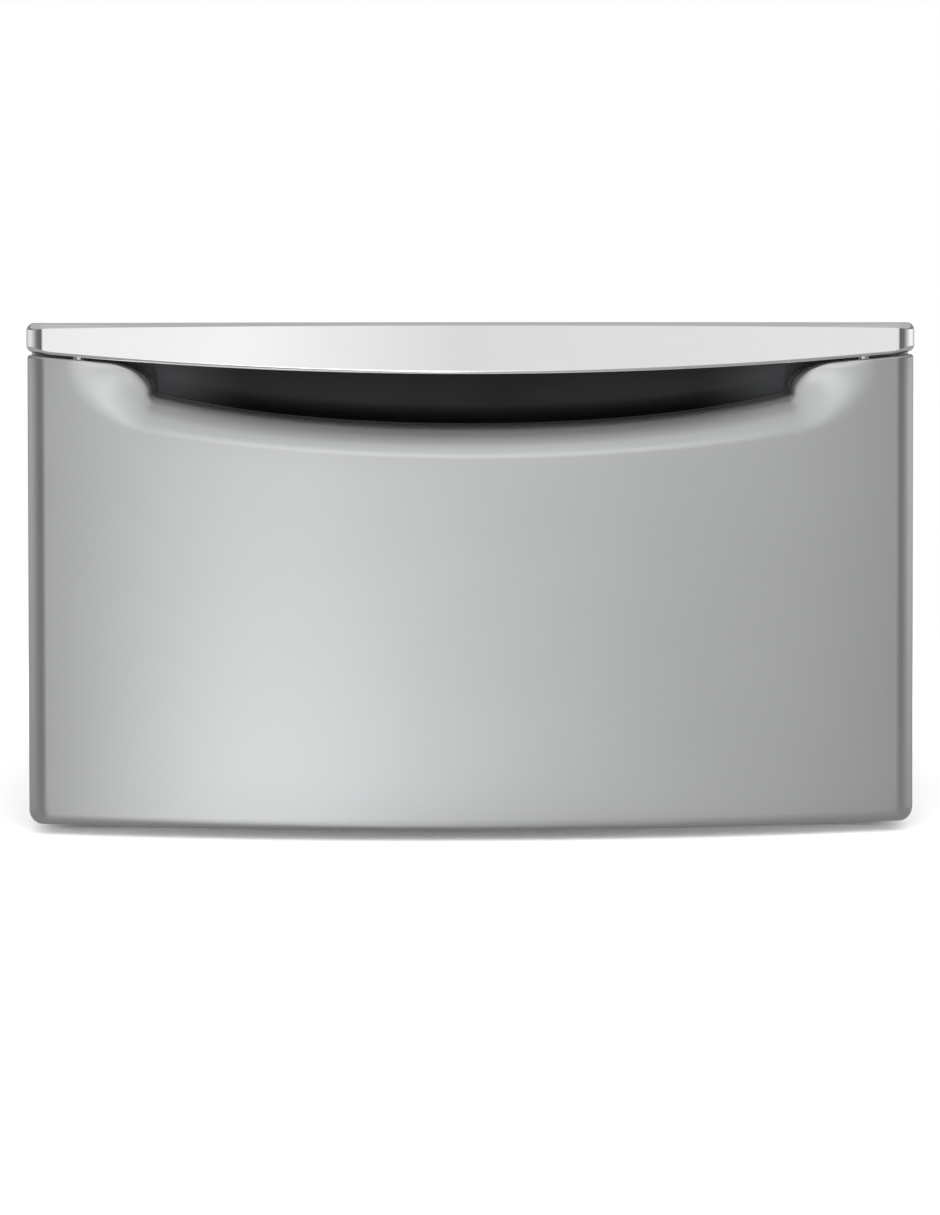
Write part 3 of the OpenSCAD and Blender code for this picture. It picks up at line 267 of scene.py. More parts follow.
# Every finish by its slot. The five numbers are metallic, roughness, its spread, grain and relief.
FINISHES: dict[str, Finish] = {
    # Metallic paint on moulded ABS: aluminium flakes of about 0.05 mm under a satin clear coat,
    # drawn at 0.9 mm because finer ones don't show, give a soft highlight with a faint sparkle.
    "front_paint": Finish("metallic_slate_paint", Pattern.METALLIC_FLAKE, "#b6b7b8", "#bcbdbe",
                          0.85, 0.31, 0.012, 0.9, 0.0012),
    # Bright vacuum-plated ABS: nearly a mirror, with the slightest waviness of its moulding.
    "bright_cap": Finish("bright_plated_cap", Pattern.MOULDED, "#eeeeef", "#f1f1f1",
                         1.0, 0.07, 0.01, 30.0, 0.0),
    # Black ABS with a fine spark-eroded grain of about 0.3 mm, drawn at 0.8 mm. Its ends are
    # painted lighter: painted light where light falls into the pocket's ends.
    "pocket_plastic": Finish("black_plastic_painted_end_light", Pattern.MOULDED, "#0d0e0f", "#131416",
                             0.0, 0.55, 0.05, 0.8, 0.02, painted_end_light="#77797c"),
    # Slate powder coat: orange peel of about 2.5 mm.
    "cabinet_paint": Finish("slate_powder_coat", Pattern.ORANGE_PEEL, "#87898b", "#8d8f91",
                            0.35, 0.46, 0.03, 2.5, 0.012),
    # Hot-dip galvanised sheet: zinc crystals of about 9 mm that each catch the light their own way.
    "galvanised": Finish("galvanised_sheet", Pattern.SPANGLE, "#9a9ea1", "#b4b8bb",
                         0.9, 0.40, 0.05, 9.0, 0.001),
    # Zinc-plated cold-rolled strip: rolling lines about 0.4 mm apart along the member.
    "slide_steel": Finish("bright_zinc_strip", Pattern.ROLLED, "#b3b7ba", "#c6cacc",
                          1.0, 0.28, 0.04, 0.4, 0.003),
    # Thin tinned cage strip and chrome steel balls, brighter than the members they run in.
    "cage_steel": Finish("tinned_cage_strip", Pattern.ROLLED, "#c9c8c0", "#d8d7d0",
                         1.0, 0.22, 0.03, 0.5, 0.002),
    # Acetal levers and stops: slightly waxy black, moulded.
    "black_plastic": Finish("black_acetal", Pattern.MOULDED, "#1a1b1d", "#242528",
                            0.0, 0.38, 0.04, 1.2, 0.008),
    # Drawer box: light grey baked enamel with a fine orange peel of about 2 mm.
    "drawer_paint": Finish("light_grey_enamel", Pattern.ORANGE_PEEL, "#c5c8c9", "#cdd0d1",
                           0.0, 0.36, 0.03, 2.0, 0.008, coat=0.2, coat_roughness=0.2),
    # Divider: dark grey polypropylene with a moulded grain.
    "divider_plastic": Finish("dark_polypropylene", Pattern.MOULDED, "#3a3d40", "#44474a",
                              0.0, 0.48, 0.05, 1.0, 0.015),
    # Rubber pads: black, dull, with the dusty bloom that rubber gets.
    "rubber": Finish("black_rubber", Pattern.MOULDED, "#1d1e1f", "#2c2d2e",
                     0.0, 0.72, 0.08, 0.7, 0.03, specular=0.35),
    # Zinc-plated machined steel of the feet, nuts and screws.
    "foot_steel": Finish("zinc_plated_steel", Pattern.MOULDED, "#a5a9ab", "#bcc0c2",
                         1.0, 0.32, 0.06, 1.5, 0.004),
}
FINISHES["screw_steel"] = FINISHES["foot_steel"]


# -------------------- meshes from grids


# An edge that turns by more than this stays sharp.
SHARP_DEGREES = 40.0


def grid_faces(rows: int, cols: int, start: int = 0, flip: bool = False) -> Array:
    """Numbers the quads of a grid of points.

    Args:
        rows: how many rows of points.
        cols: how many points in a row.
        start: the number of the grid's first point.
        flip: whether the faces turn the other way.

    Returns:
        An array of quads, four point numbers each.
    """
    i, j = np.meshgrid(np.arange(rows - 1), np.arange(cols - 1), indexing="ij")
    first = i * cols + j + start
    quads = np.stack([first, first + cols, first + cols + 1, first + 1], axis=-1).reshape(-1, 4)
    return quads[:, ::-1] if flip else quads


def mesh_object(name: str, points: Array, quads: Array,
                material: bpy.types.Material) -> bpy.types.Object:
    """Makes an object of points and quads, in metres, at the origin.

    Args:
        name: the piece's name.
        points: an array of x, y and z.
        quads: an array of four point numbers each.
        material: the material of the whole piece.

    Returns:
        The new object, linked into the scene.
    """
    mesh = bpy.data.meshes.new(name)
    mesh.vertices.add(len(points))
    mesh.vertices.foreach_set("co", np.ascontiguousarray(points, dtype=np.float32).ravel())
    mesh.loops.add(quads.size)
    mesh.loops.foreach_set("vertex_index", np.ascontiguousarray(quads, dtype=np.int32).ravel())
    mesh.polygons.add(len(quads))
    mesh.polygons.foreach_set("loop_start", np.arange(0, quads.size, 4, dtype=np.int32))
    mesh.update(calc_edges=True)
    mesh.validate()
    mesh.polygons.foreach_set("use_smooth", np.ones(len(mesh.polygons), dtype=bool))
    mesh.set_sharp_from_angle(angle=math.radians(SHARP_DEGREES))
    mesh.materials.append(material)
    obj = bpy.data.objects.new(name, mesh)
    bpy.context.scene.collection.objects.link(obj)
    return obj


def surface_normals(grid: Array) -> Array:
    """Works out a grid's normals: down the rows crossed with along the columns.

    Args:
        grid: points, rows by columns by three.

    Returns:
        A unit normal at each point.
    """
    normal = np.cross(np.gradient(grid, axis=0), np.gradient(grid, axis=1))
    return normal / np.maximum(np.linalg.norm(normal, axis=-1, keepdims=True), 1e-12)


def ease(value: Array, start: float, stop: float) -> Array:
    """Turns values into a share that leaves 0 and reaches 1 gently.

    Args:
        value: the values.
        start: where the share is 0, and below which it stays so.
        stop: where it is 1, and beyond which it stays so.

    Returns:
        A share for each value.
    """
    share = np.clip((value - start) / (stop - start), 0.0, 1.0)
    return share * share * (3 - 2 * share)


def matrix_of(side: Array, up: Array, back: Array, at: Array | tuple[float, ...]) -> Matrix:
    """Builds the matrix of a lamp or a camera.

    Args:
        side: the direction to its right.
        up: the direction above it.
        back: the direction behind it.
        at: where it stands.

    Returns:
        The matrix that puts it there.
    """
    return Matrix([[side[k], up[k], back[k], at[k]] for k in range(3)] + [[0, 0, 0, 1]])


def shell(outside: Array, inside: Array) -> tuple[Array, Array]:
    """Closes two grids of the same shape round their borders into one thick skin.

    Args:
        outside: the grid that shows, rows by columns by three.
        inside: the grid behind it.

    Returns:
        Points and quads whose faces look outwards.
    """
    rows, cols = outside.shape[:2]
    n = rows * cols
    points = np.concatenate([outside.reshape(-1, 3), inside.reshape(-1, 3)])
    number = np.arange(n).reshape(rows, cols)
    rim = np.concatenate([number[0, :-1], number[:-1, -1], number[-1, :0:-1], number[:0:-1, 0]])
    after = np.roll(rim, -1)
    border = np.stack([rim, after, after + n, rim + n], axis=-1)
    quads = np.concatenate([grid_faces(rows, cols), grid_faces(rows, cols, n, flip=True), border])
    return points, quads


# -------------------- the bowed front


@dataclass
class BowedFront:
    """The drawer front: a moulded panel, a bright cap above it and a dark pocket between them.

    Sizes are millimetres, and those of the frame are read from its pieces.
    """

    bow: float = 45.0
    end_r: float = 20.0
    wall: float = 3.0
    inset: float = 0.7
    cap_rise: float = 16.7
    cap_gap: float = 1.8
    panel_bottom_r: float = 10.0
    panel_corner_r: float = 11.0
    face_corner_r: float = 3.0
    edge_r: float = 2.4
    rim_half_w: float = 310.0
    rim_below_cap: float = 65.0
    rim_curve_r: float = 1754.0
    rim_corner: tuple[float, float] = (62.0, 43.0)
    crest_half_w: float = 244.5
    crest_below_cap: float = 39.2
    crest_curve_r: float = 1640.0
    crest_lift: float = 5.8
    crest_flare_w: float = 44.0
    crest_turn: tuple[float, float] = (4.5, 4.5)
    # The lip: its depth, and the share of it that its ends have under the cap.
    lip_depth: float = 16.0
    lip_end_share: float = 0.35
    # On the way to the crest, the share after which its parabola turns into a ramp, the share that
    # the crest's rounding takes, and how far that goes down and how far the level run goes back.
    lip_round: float = 0.68
    crest_share: float = 0.2
    crest_r: float = 4.0
    lip_run: float = 22.0
    # Between these depths of the lip, its ends rise by this share of the gap under the cap.
    tuck_from_to: tuple[float, float] = (1.5, 6.0)
    tuck_share: float = 0.5
    # The cap's lower edge, in the middle and what its ends add: its radius, and its power, which
    # makes it round at 1 and a bevel at 2. The upper edge has a power as well.
    cap_low_r: tuple[float, float] = (2.2, 3.4)
    cap_low_power: tuple[float, float] = (1.75, -0.75)
    cap_top_power: tuple[float, float] = (1.75, -0.6)
    # The upper edge's height, and its depth by its height: in the middle, what the way to the ends
    # adds (the depth's from a share of that way on) and what the ends' rounds add.
    cap_top_h: tuple[float, float, float] = (2.7, 1.7, 1.4)
    cap_top_lean: tuple[float, float, float] = (2.6, -1.3, -0.5)
    cap_lean_from: float = 0.6
    cap_rear_inset: float = 8.0
    # The pocket's two roundings, with the most of its height that each may take.
    pocket_low_r: tuple[float, float] = (17.0, 0.6)
    pocket_top_r: tuple[float, float] = (5.0, 0.3)
    # How far its ceiling lies below the plain piece's top, its wall, how far its back lies before
    # the front's rear, the least gap behind that, and how far its ends lean out.
    pocket_roof: float = 2.0
    pocket_wall: float = 1.6
    pocket_back: float = 8.5
    pocket_rear_gap: float = 0.5
    pocket_spread: float = 0.4
    seat_gap: float = 0.3
    # Read from the frame, or worked out from what is read.
    half_w: float = field(init=False)
    panel_half_w: float = field(init=False)
    y_end: float = field(init=False)
    y_back: float = field(init=False)
    z_cap: float = field(init=False)
    z_cap_mid: float = field(init=False)
    panel_lift: float = field(init=False)
    bow_r: float = field(init=False)
    cap_curve_r: float = field(init=False)
    end_x: float = field(init=False)
    end_y: float = field(init=False)
    end_angle: float = field(init=False)
    end_w: float = field(init=False)

    def __post_init__(self) -> None:
        """Reads the frame's sizes and works out the bow."""
        cap_low, cap_high = (np.array(corner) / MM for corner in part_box("handle_cap"))
        panel_low = np.array(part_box("front_panel")[0]) / MM
        self.half_w = cap_high[0]
        self.panel_half_w = self.half_w - self.inset
        self.y_end = cap_low[1] + self.bow
        self.y_back = cap_high[1]
        self.z_cap = cap_high[2]
        self.z_cap_mid = cap_low[2]
        self.panel_lift = panel_low[2]
        self.bow_r = (self.half_w ** 2 + self.bow ** 2) / (2 * self.bow)
        self.cap_curve_r = (self.half_w ** 2 + self.cap_rise ** 2) / (2 * self.cap_rise)
        self.end_x = self.half_w - self.end_r
        centre_y = self.y_end + self.bow_r - self.bow
        self.end_y = centre_y - math.sqrt((self.bow_r - self.end_r) ** 2 - self.end_x ** 2)
        self.end_angle = math.asin(self.end_x / (self.bow_r - self.end_r))
        self.end_w = self.half_w - self.bow_r * math.sin(self.end_angle)

    def y_face(self, x: Array) -> Array:
        """The bow seen from above: one circular arc, bow deep over the whole width."""
        return self.y_end + self.bow_r - self.bow - np.sqrt(self.bow_r ** 2 - x ** 2)

    def z_cap_low(self, x: Array) -> Array:
        """The cap's lower edge: a circular arc that rises towards both ends."""
        return self.z_cap_mid + self.cap_curve_r - np.sqrt(self.cap_curve_r ** 2 - x ** 2)

    def z_panel_top(self, x: Array) -> Array:
        """The panel's upper edge, one gap below the cap's lower edge."""
        return self.z_cap_low(x) - self.cap_gap

    def _fillet_steps(self, side_drop: float) -> tuple[Array, Array]:
        """Drops below the top edge along a side, close together in the edge's rounding.

        Args:
            side_drop: how far the side runs down.

        Returns:
            The drops, and how far each lies behind the surface: r (1 - sin a) at r (1 - cos a).
        """
        angle = np.linspace(0.0, math.pi / 2, self.FILLET_STEPS + 1)
        round_drop = self.edge_r * (1 - np.cos(angle))
        straight = np.linspace(self.edge_r, side_drop, self.SIDE_STEPS + 1)[1:]
        return (np.concatenate([round_drop, straight]),
                np.concatenate([self.edge_r * (1 - np.sin(angle)), np.zeros(self.SIDE_STEPS)]))

    # How many steps each stretch of the columns takes.
    SIDE_STEPS = 14
    FILLET_STEPS = 6
    CORNER_STEPS = 26
    TURN_STEPS = 6
    FOOT_STEPS = 150
    # The same for the rows: the panel's wall and face, the edges, and four stretches of the lip.
    WALL_STEPS = 5
    FACE_STEPS = 24
    EDGE_STEPS = 12
    LIP_STEPS = (14, 3, 8, 4)
    # The same for the cap's outline: its side, its rounded end and its bow.
    PLAN_STEPS = (8, 24, 180)
    # Shares of the way up the cap's face, and back along its top, that have a row.
    CAP_FACE_ROWS = (0.008, 0.1, 0.3, 0.5, 0.7, 0.9, 0.992)
    CAP_TOP_ROWS = (0.04, 0.3, 0.65, 1.0)
    # The same for the pocket: its straight stretches and its two roundings.
    POCKET_STEPS = 4
    POCKET_ROUND_STEPS = (10, 5)
    # The level part of a normal is stretched to 1, but by no more than 1 over this.
    LEAST_LEVEL = 0.35

    def _u_shape(self, half: float, top: float,
                 corner_w: float, corner_h: float) -> tuple[Array, Array]:
        """A U of points: down the left side, round an elliptical corner, along, and up again.

        Args:
            half: half the U's width.
            top: the height of its sides above its foot.
            corner_w: the corners' width.
            corner_h: the corners' height.

        Returns:
            x, and the height above the foot, from the upper left to the upper right.
        """
        drop, _ = self._fillet_steps(top - corner_h)
        angle = np.linspace(0.0, math.pi / 2, self.CORNER_STEPS + 1)[1:]
        left_x = np.concatenate([np.full(drop.size, -half), -half + corner_w * (1 - np.cos(angle))])
        left_h = np.concatenate([top - drop, corner_h * (1 - np.sin(angle))])
        foot_x = (half - corner_w) * np.linspace(-1.0, 1.0, self.FOOT_STEPS + 1)[1:-1]
        return (np.concatenate([left_x, foot_x, -left_x[::-1]]),
                np.concatenate([left_h, np.zeros(foot_x.size), left_h[::-1]]))

    def _rim(self) -> Array:
        """The scoop's rim on the face, as x and z: a shallow arc with elliptical corners."""
        z_rim = self.z_cap_mid - self.rim_below_cap

        def curve(x: Array | float) -> Array:
            return self.rim_curve_r - np.sqrt(self.rim_curve_r ** 2 - np.square(x))

        top = self.z_panel_top(np.array(self.rim_half_w)) - z_rim - curve(self.rim_half_w)
        x, h = self._u_shape(self.rim_half_w, float(top), *self.rim_corner)
        return np.stack([x, z_rim + curve(x) + h], axis=-1)

    def _crest(self, lower: float = 0.0) -> Array:
        """The scoop's crest, as x and z: a flat bowl that turns up into flares at both ends.

        Both the turn and the flare are quarter ellipses; the turn is hollow and the flare is full.

        Args:
            lower: how far below the crest the line runs, measured across it.

        Returns:
            x and z of each point, level with the cap's edge at both ends.
        """
        z_crest = self.z_cap_mid - self.crest_below_cap

        def curve(x: Array | float) -> Array:
            lift = self.crest_lift * np.power(x / self.crest_half_w, 4)
            return np.square(x) / (2 * self.crest_curve_r) + lift

        turn_w, turn_h = self.crest_turn
        bowl_half_w = self.crest_half_w - turn_w
        z_turn = z_crest + curve(bowl_half_w)
        z_flare = z_turn + turn_h
        flare_end = self.crest_half_w + self.crest_flare_w
        flare_h = float(self.z_panel_top(np.array(flare_end)) - z_flare)
        count = self.FILLET_STEPS + self.SIDE_STEPS + self.CORNER_STEPS + 1 - self.TURN_STEPS
        angle = np.linspace(0.0, math.pi / 2, count)
        turn = np.linspace(0.0, math.pi / 2, self.TURN_STEPS + 1)[1:]
        left_x = np.concatenate([-self.crest_half_w - self.crest_flare_w * (1 - np.sin(angle)),
                                 -self.crest_half_w + turn_w * (1 - np.cos(turn))])
        left_z = np.concatenate([z_flare + flare_h * np.cos(angle),
                                 z_flare - turn_h * np.sin(turn)])
        foot_x = bowl_half_w * np.linspace(-1.0, 1.0, self.FOOT_STEPS + 1)[1:-1]
        foot_z = z_crest + curve(foot_x)
        line = np.stack([np.concatenate([left_x, foot_x, -left_x[::-1]]),
                         np.concatenate([left_z, foot_z, left_z[::-1]])], axis=-1)
        if lower:
            along = np.gradient(line, axis=0)
            along /= np.linalg.norm(along, axis=-1, keepdims=True)
            line = line + lower * np.stack([along[:, 1], -along[:, 0]], axis=-1)
        return line

    def _outline(self) -> tuple[Array, Array, Array]:
        """Draws the panel's border.

        Returns:
            Its outline, the line where its face starts to roll over, and the roll's depth.
        """
        top = float(self.z_panel_top(np.array(self.panel_half_w))) - self.panel_lift
        x, h = self._u_shape(self.panel_half_w, top, self.panel_corner_r, self.panel_corner_r)
        outline = np.stack([x, self.panel_lift + h], axis=-1)
        low = self.panel_lift + self.panel_bottom_r
        half = self.panel_half_w - self.end_w
        top = float(self.z_panel_top(np.array(half))) - low
        x, h = self._u_shape(half, top, self.face_corner_r, self.face_corner_r)
        face_edge = np.stack([x, low + h], axis=-1)
        from_ends = np.minimum(np.arange(len(x)), np.arange(len(x))[::-1])
        side = self.SIDE_STEPS + self.FILLET_STEPS
        share = ease(from_ends, side, side + self.CORNER_STEPS)
        return outline, face_edge, self.end_w + (self.panel_bottom_r - self.end_w) * share

    def lip_profile(self) -> tuple[Array, Array, Array]:
        """The lip's section: a parabola, a ramp, a small rounding at the crest and a level run.

        Returns:
            For each row, the share of the way from rim to crest, the depth behind the face, and the
            share of the level run.
        """
        k = self.lip_depth / self.lip_round / (2 - self.lip_round)
        bends = (0.0, self.lip_round, 1.0 - self.crest_share)
        t = np.concatenate([np.linspace(low, high, steps + 1)[1:]
                            for low, high, steps in zip(bends, bends[1:], self.LIP_STEPS)])
        r = np.minimum(t, self.lip_round)
        sink = k * (r * r + 2 * self.lip_round * (t - r))
        # The rounding is a curve whose corner is the crest: it turns the ramp into the level run.
        deepest = self.lip_depth + self.crest_r
        u, run = (np.linspace(0.0, 1.0, steps + 1)[1:] for steps in self.LIP_STEPS[2:])
        t_round = 1.0 - self.crest_share * (1 - u) ** 2
        sink_round = (1 - u) ** 2 * sink[-1] + 2 * u * (1 - u) * self.lip_depth + u * u * deepest
        return (np.concatenate([t, t_round, np.ones(run.size)]),
                np.concatenate([sink, sink_round, np.full(run.size, deepest)]),
                np.concatenate([np.zeros(t.size + u.size), run]))

    def panel_grid(self) -> Array:
        """Works out the panel's outer surface.

        Returns:
            Rows from the panel's rear edge over its face and the lip to the pocket.
        """
        outline, face_edge, roll_depth = self._outline()
        rim = self._rim()
        crest = self._crest()
        rows: list[tuple[Array, Array]] = []
        for a in np.linspace(math.pi / 2, 0.0, self.EDGE_STEPS + 1):
            rows.append((face_edge + (outline - face_edge) * math.sin(a),
                         roll_depth * (1 - math.cos(a))))
        for k in np.linspace(0.0, 1.0, self.FACE_STEPS + 1)[1:]:
            rows.append((face_edge + (rim - face_edge) * k, np.zeros(len(rim))))
        face_rows = len(rows)
        from_ends = np.minimum(np.arange(len(rim)), np.arange(len(rim))[::-1])
        middle = ease(from_ends, 0, self.SIDE_STEPS + self.FILLET_STEPS + self.CORNER_STEPS / 2)
        depth = self.lip_end_share + (1.0 - self.lip_end_share) * middle
        for t, sink, run in zip(*self.lip_profile()):
            sunk = sink * depth
            rows.append((rim + (crest - rim) * t,
                         sunk + (self.lip_depth + self.lip_run - sunk) * run))
        flat, back = (np.stack(part) for part in zip(*rows))
        x = flat[..., 0]
        z = self._under_cap(x, flat[..., 1], back * (np.arange(len(rows)) >= face_rows)[:, None])
        grid = np.stack([x, self.y_face(x) + self.inset + back, z], axis=-1)
        rear = grid[0].copy()
        rear[:, 1] = self.y_back
        share = np.linspace(0.0, 1.0, self.WALL_STEPS + 1)[:-1, None, None]
        walls = rear + (grid[0] - rear) * share
        sunk = np.concatenate([np.zeros(len(walls) + face_rows), back[face_rows:, 0]])
        return self._round_top_edge(np.concatenate([walls, grid]), sunk)

    def _under_cap(self, x: Array, z: Array, sunk: Array) -> Array:
        """Moves the side columns so that each row's upper end follows the edge under the cap.

        Where the lip lies deep, the gap under the cap is narrower.

        Args:
            x: each point's x, by row and column.
            z: each point's z.
            sunk: how deep the lip lies at each point.

        Returns:
            The new z of each point.
        """
        last = self.SIDE_STEPS + self.FILLET_STEPS
        near = np.clip(1.0 - np.arange(last + 1) / last, 0.0, 1.0) ** 2
        tuck = self.tuck_share * self.cap_gap * ease(sunk[:, :1], *self.tuck_from_to)
        z = z.copy()
        for side in (slice(0, last + 1), slice(-1, -last - 2, -1)):
            top = self.z_panel_top(x[:, side][:, :1]) + tuck
            z[:, side] += (top - z[:, side][:, :1]) * near
        return z

    def _round_top_edge(self, grid: Array, sunk: Array) -> Array:
        """Sinks the first and last columns along the normals, so that the upper edge is rounded.

        Args:
            grid: the panel's surface.
            sunk: how deep the lip lies in each row; the rounding is gone at two walls' depth.

        Returns:
            The surface with its upper edge rounded.
        """
        _, behind = self._fillet_steps(2 * self.edge_r)
        inward = surface_normals(grid)
        inward[..., 2] = 0.0
        inward /= np.maximum(np.linalg.norm(inward, axis=-1, keepdims=True), self.LEAST_LEVEL)
        count = behind.size
        fade = np.clip(1.0 - sunk / (2 * self.wall), 0.0, 1.0)
        grid = grid.copy()
        grid[:, :count] += inward[:, :count] * behind[None, :, None] * fade[:, None, None]
        grid[:, -count:] += inward[:, -count:] * behind[None, ::-1, None] * fade[:, None, None]
        return grid

    def make_panel(self) -> bpy.types.Object:
        """Makes the moulded front panel.

        Returns:
            The new object.
        """
        outside = self.panel_grid()
        inside = outside + surface_normals(outside) * self.wall
        inside[0, :, 1] = outside[0, :, 1]
        points, quads = shell(outside, inside)
        return mesh_object("front_panel_shell", points * MM, quads,
                           FINISHES["front_paint"].build())

    def _plan(self) -> tuple[Array, Array]:
        """The cap's outline seen from above: side, rounded end, bow, and back again.

        Returns:
            Points as x and y, and the direction out of the outline at each.
        """
        side_steps, turn_steps, bow_steps = self.PLAN_STEPS
        side = np.linspace(self.y_back, self.end_y, side_steps + 1)[:-1]
        turn = np.linspace(0.0, math.pi / 2 - self.end_angle, turn_steps + 1)[:-1]
        sweep = np.linspace(-self.end_angle, self.end_angle, bow_steps + 1)
        turn_out = np.stack([-np.cos(turn), -np.sin(turn)], axis=-1)
        left = np.concatenate([np.stack([np.full(side.size, -self.half_w), side], axis=-1),
                               np.array([-self.end_x, self.end_y]) + self.end_r * turn_out])
        left_out = np.concatenate([np.tile([-1.0, 0.0], (side.size, 1)), turn_out])
        centre_y = self.y_end + self.bow_r - self.bow
        bow = np.stack([self.bow_r * np.sin(sweep), centre_y - self.bow_r * np.cos(sweep)], axis=-1)
        bow_out = np.stack([np.sin(sweep), -np.cos(sweep)], axis=-1)
        flip = np.array([-1.0, 1.0])
        return (np.concatenate([left, bow, left[::-1] * flip]),
                np.concatenate([left_out, bow_out, left_out[::-1] * flip]))

    def cap_grid(self, depth: float) -> Array:
        """Works out the cap's surface: up its face, over its edge and back along its top.

        The face's edges are quarter superellipses that grow from the middle towards the ends. Along
        the bow they are nearly bevels, and the upper one is deeper than it is high.

        Args:
            depth: how far below the skin the surface lies.

        Returns:
            Rows along the cap's outline.
        """
        plan, out = self._plan()
        x = plan[:, 0]
        off = np.abs(x)
        end = ease(off, self.end_x, self.half_w)
        near_end = ease(off, self.cap_lean_from * self.end_x, self.end_x)
        low_r, low_power, top_power = (
            middle + added * end
            for middle, added in (self.cap_low_r, self.cap_low_power, self.cap_top_power))
        (h_middle, h_way, h_end), (d_middle, d_way, d_end) = self.cap_top_h, self.cap_top_lean
        top_h = h_middle + h_way * (off / self.half_w) ** 2 + h_end * end
        top_d = top_h * (d_middle + d_way * near_end + d_end * end)
        z_low = self.z_cap_low(x)
        face_low, face_high = z_low + low_r, self.z_cap - top_h
        quarter = np.linspace(0.0, math.pi / 2, self.EDGE_STEPS + 1)
        rows = [(low_r * (1 - math.sin(a) ** low_power),
                 z_low + low_r * (1 - math.cos(a) ** low_power)) for a in quarter]
        rows += [(np.zeros(x.size), face_low + (face_high - face_low) * k)
                 for k in self.CAP_FACE_ROWS]
        rows += [(top_d * (1 - math.cos(a) ** top_power),
                  self.z_cap - top_h * (1 - math.sin(a) ** top_power)) for a in quarter]
        lines = []
        for back, z in rows:
            p = plan - out * back[:, None]
            lines.append(np.stack([p[:, 0], np.minimum(p[:, 1], self.y_back), z], axis=-1))
        edge = lines[-1]
        rear = np.stack([(self.half_w - self.cap_rear_inset) * np.linspace(-1.0, 1.0, x.size),
                         np.full(x.size, self.y_back), np.full(x.size, self.z_cap)], axis=-1)
        grid = np.stack(lines + [edge + (rear - edge) * k for k in self.CAP_TOP_ROWS])
        if depth:
            grid = grid + surface_normals(grid) * depth
            grid[..., 1] = np.minimum(grid[..., 1], self.y_back)
        return grid

    def make_cap(self) -> bpy.types.Object:
        """Makes the bright handle cap.

        Returns:
            The new object.
        """
        points, quads = shell(self.cap_grid(0.0), self.cap_grid(self.wall))
        return mesh_object("handle_cap_shell", points * MM, quads, FINISHES["bright_cap"].build())

    def make_pocket(self) -> bpy.types.Object:
        """Makes the pocket liner: a tray behind the scoop, open to the front, with rounded corners.

        Each column starts on the scoop's crest and runs back along the floor, up the back wall
        through a wide round, and forward again under the ceiling. The floor's ends rise to meet it.

        Returns:
            The new object.
        """
        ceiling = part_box("finger_pocket")[1][2] / MM - self.pocket_roof
        steps = np.linspace(0.0, 1.0, self.POCKET_STEPS + 1)
        line = self._crest(lower=self.seat_gap)
        corner = np.array([line[-1, 0] + self.pocket_spread, ceiling])
        right = line[-1] + (corner - line[-1]) * steps[1:, None]
        line = np.concatenate([(right * np.array([-1.0, 1.0]))[::-1], line, right])
        x, floor = line[:, 0], line[:, 1]
        front = self.y_face(x) + self.inset + self.lip_depth + self.lip_run + self.seat_gap
        back = self.y_back - self.pocket_back
        room = ceiling - floor
        low_r, top_r = (np.minimum(radius, share * room)
                        for radius, share in (self.pocket_low_r, self.pocket_top_r))
        low_round, top_round = (np.linspace(0.0, math.pi / 2, count + 1)[1:]
                                for count in self.POCKET_ROUND_STEPS)
        rows = [(front + (back - low_r - front) * k, floor) for k in steps]
        rows += [(back - low_r * (1 - math.sin(a)), floor + low_r * (1 - math.cos(a)))
                 for a in low_round]
        rows += [(np.full(x.size, back), floor + low_r + (room - low_r - top_r) * k)
                 for k in steps[1:]]
        rows += [(back - top_r * (1 - math.cos(a)), ceiling - top_r * (1 - math.sin(a)))
                 for a in top_round]
        rows += [(back - top_r + (front - back + top_r) * k, np.full(x.size, ceiling))
                 for k in steps[1:]]
        inner = np.stack([np.stack([x, y, z], axis=-1) for y, z in rows])
        outer = inner - surface_normals(inner) * self.pocket_wall
        outer[..., 1] = np.minimum(outer[..., 1], self.y_back - self.pocket_rear_gap)
        outer[[0, -1], :, 1] = inner[[0, -1], :, 1]
        points, quads = shell(inner, outer)
        return mesh_object("finger_pocket_liner", points * MM, quads[:, ::-1],
                           FINISHES["pocket_plastic"].build())

    def build(self) -> None:
        """Makes the three pieces, which ride on the drawer in place of their plain solids."""
        for make, node, slot_name in ((self.make_panel, "front_panel", "front_paint"),
                                      (self.make_cap, "handle_cap", "bright_cap"),
                                      (self.make_pocket, "finger_pocket", "pocket_plastic")):
            piece = make()
            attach(piece, "drawer")
            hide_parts(node)
            log.info("%s stands for %s", piece.name, node)


# -------------------- the frame's own pieces


@dataclass
class Ironwork:
    """The frame's own pieces: their finishes, and the small radius that their edges have."""

    edge_mm: float = 0.35
    edge_segments: int = 2
    edge_degrees: float = 50.0
    weld_m: float = 1e-5

    def dress(self) -> None:
        """Gives every node of the frame its finish and its softened edges."""
        slots = {row["node"]: row["material_slot"] for row in frame["record"]["subparts"]}
        for name, obj in frame["nodes"].items():
            obj.data.materials.clear()
            obj.data.materials.append(FINISHES[slots[name]].build())
            self._soften(obj)
            log.info("%s is dressed in %s", name, slots[name])

    def _soften(self, obj: bpy.types.Object) -> None:
        """Joins a piece's loose triangles and rounds its edges a little, both by modifiers.

        Args:
            obj: the piece.
        """
        weld = obj.modifiers.new("weld", "WELD")
        weld.merge_threshold = self.weld_m
        bevel = obj.modifiers.new("edge", "BEVEL")
        bevel.width = self.edge_mm * MM
        bevel.segments = self.edge_segments
        bevel.limit_method = "ANGLE"
        bevel.angle_limit = math.radians(self.edge_degrees)


# -------------------- studio


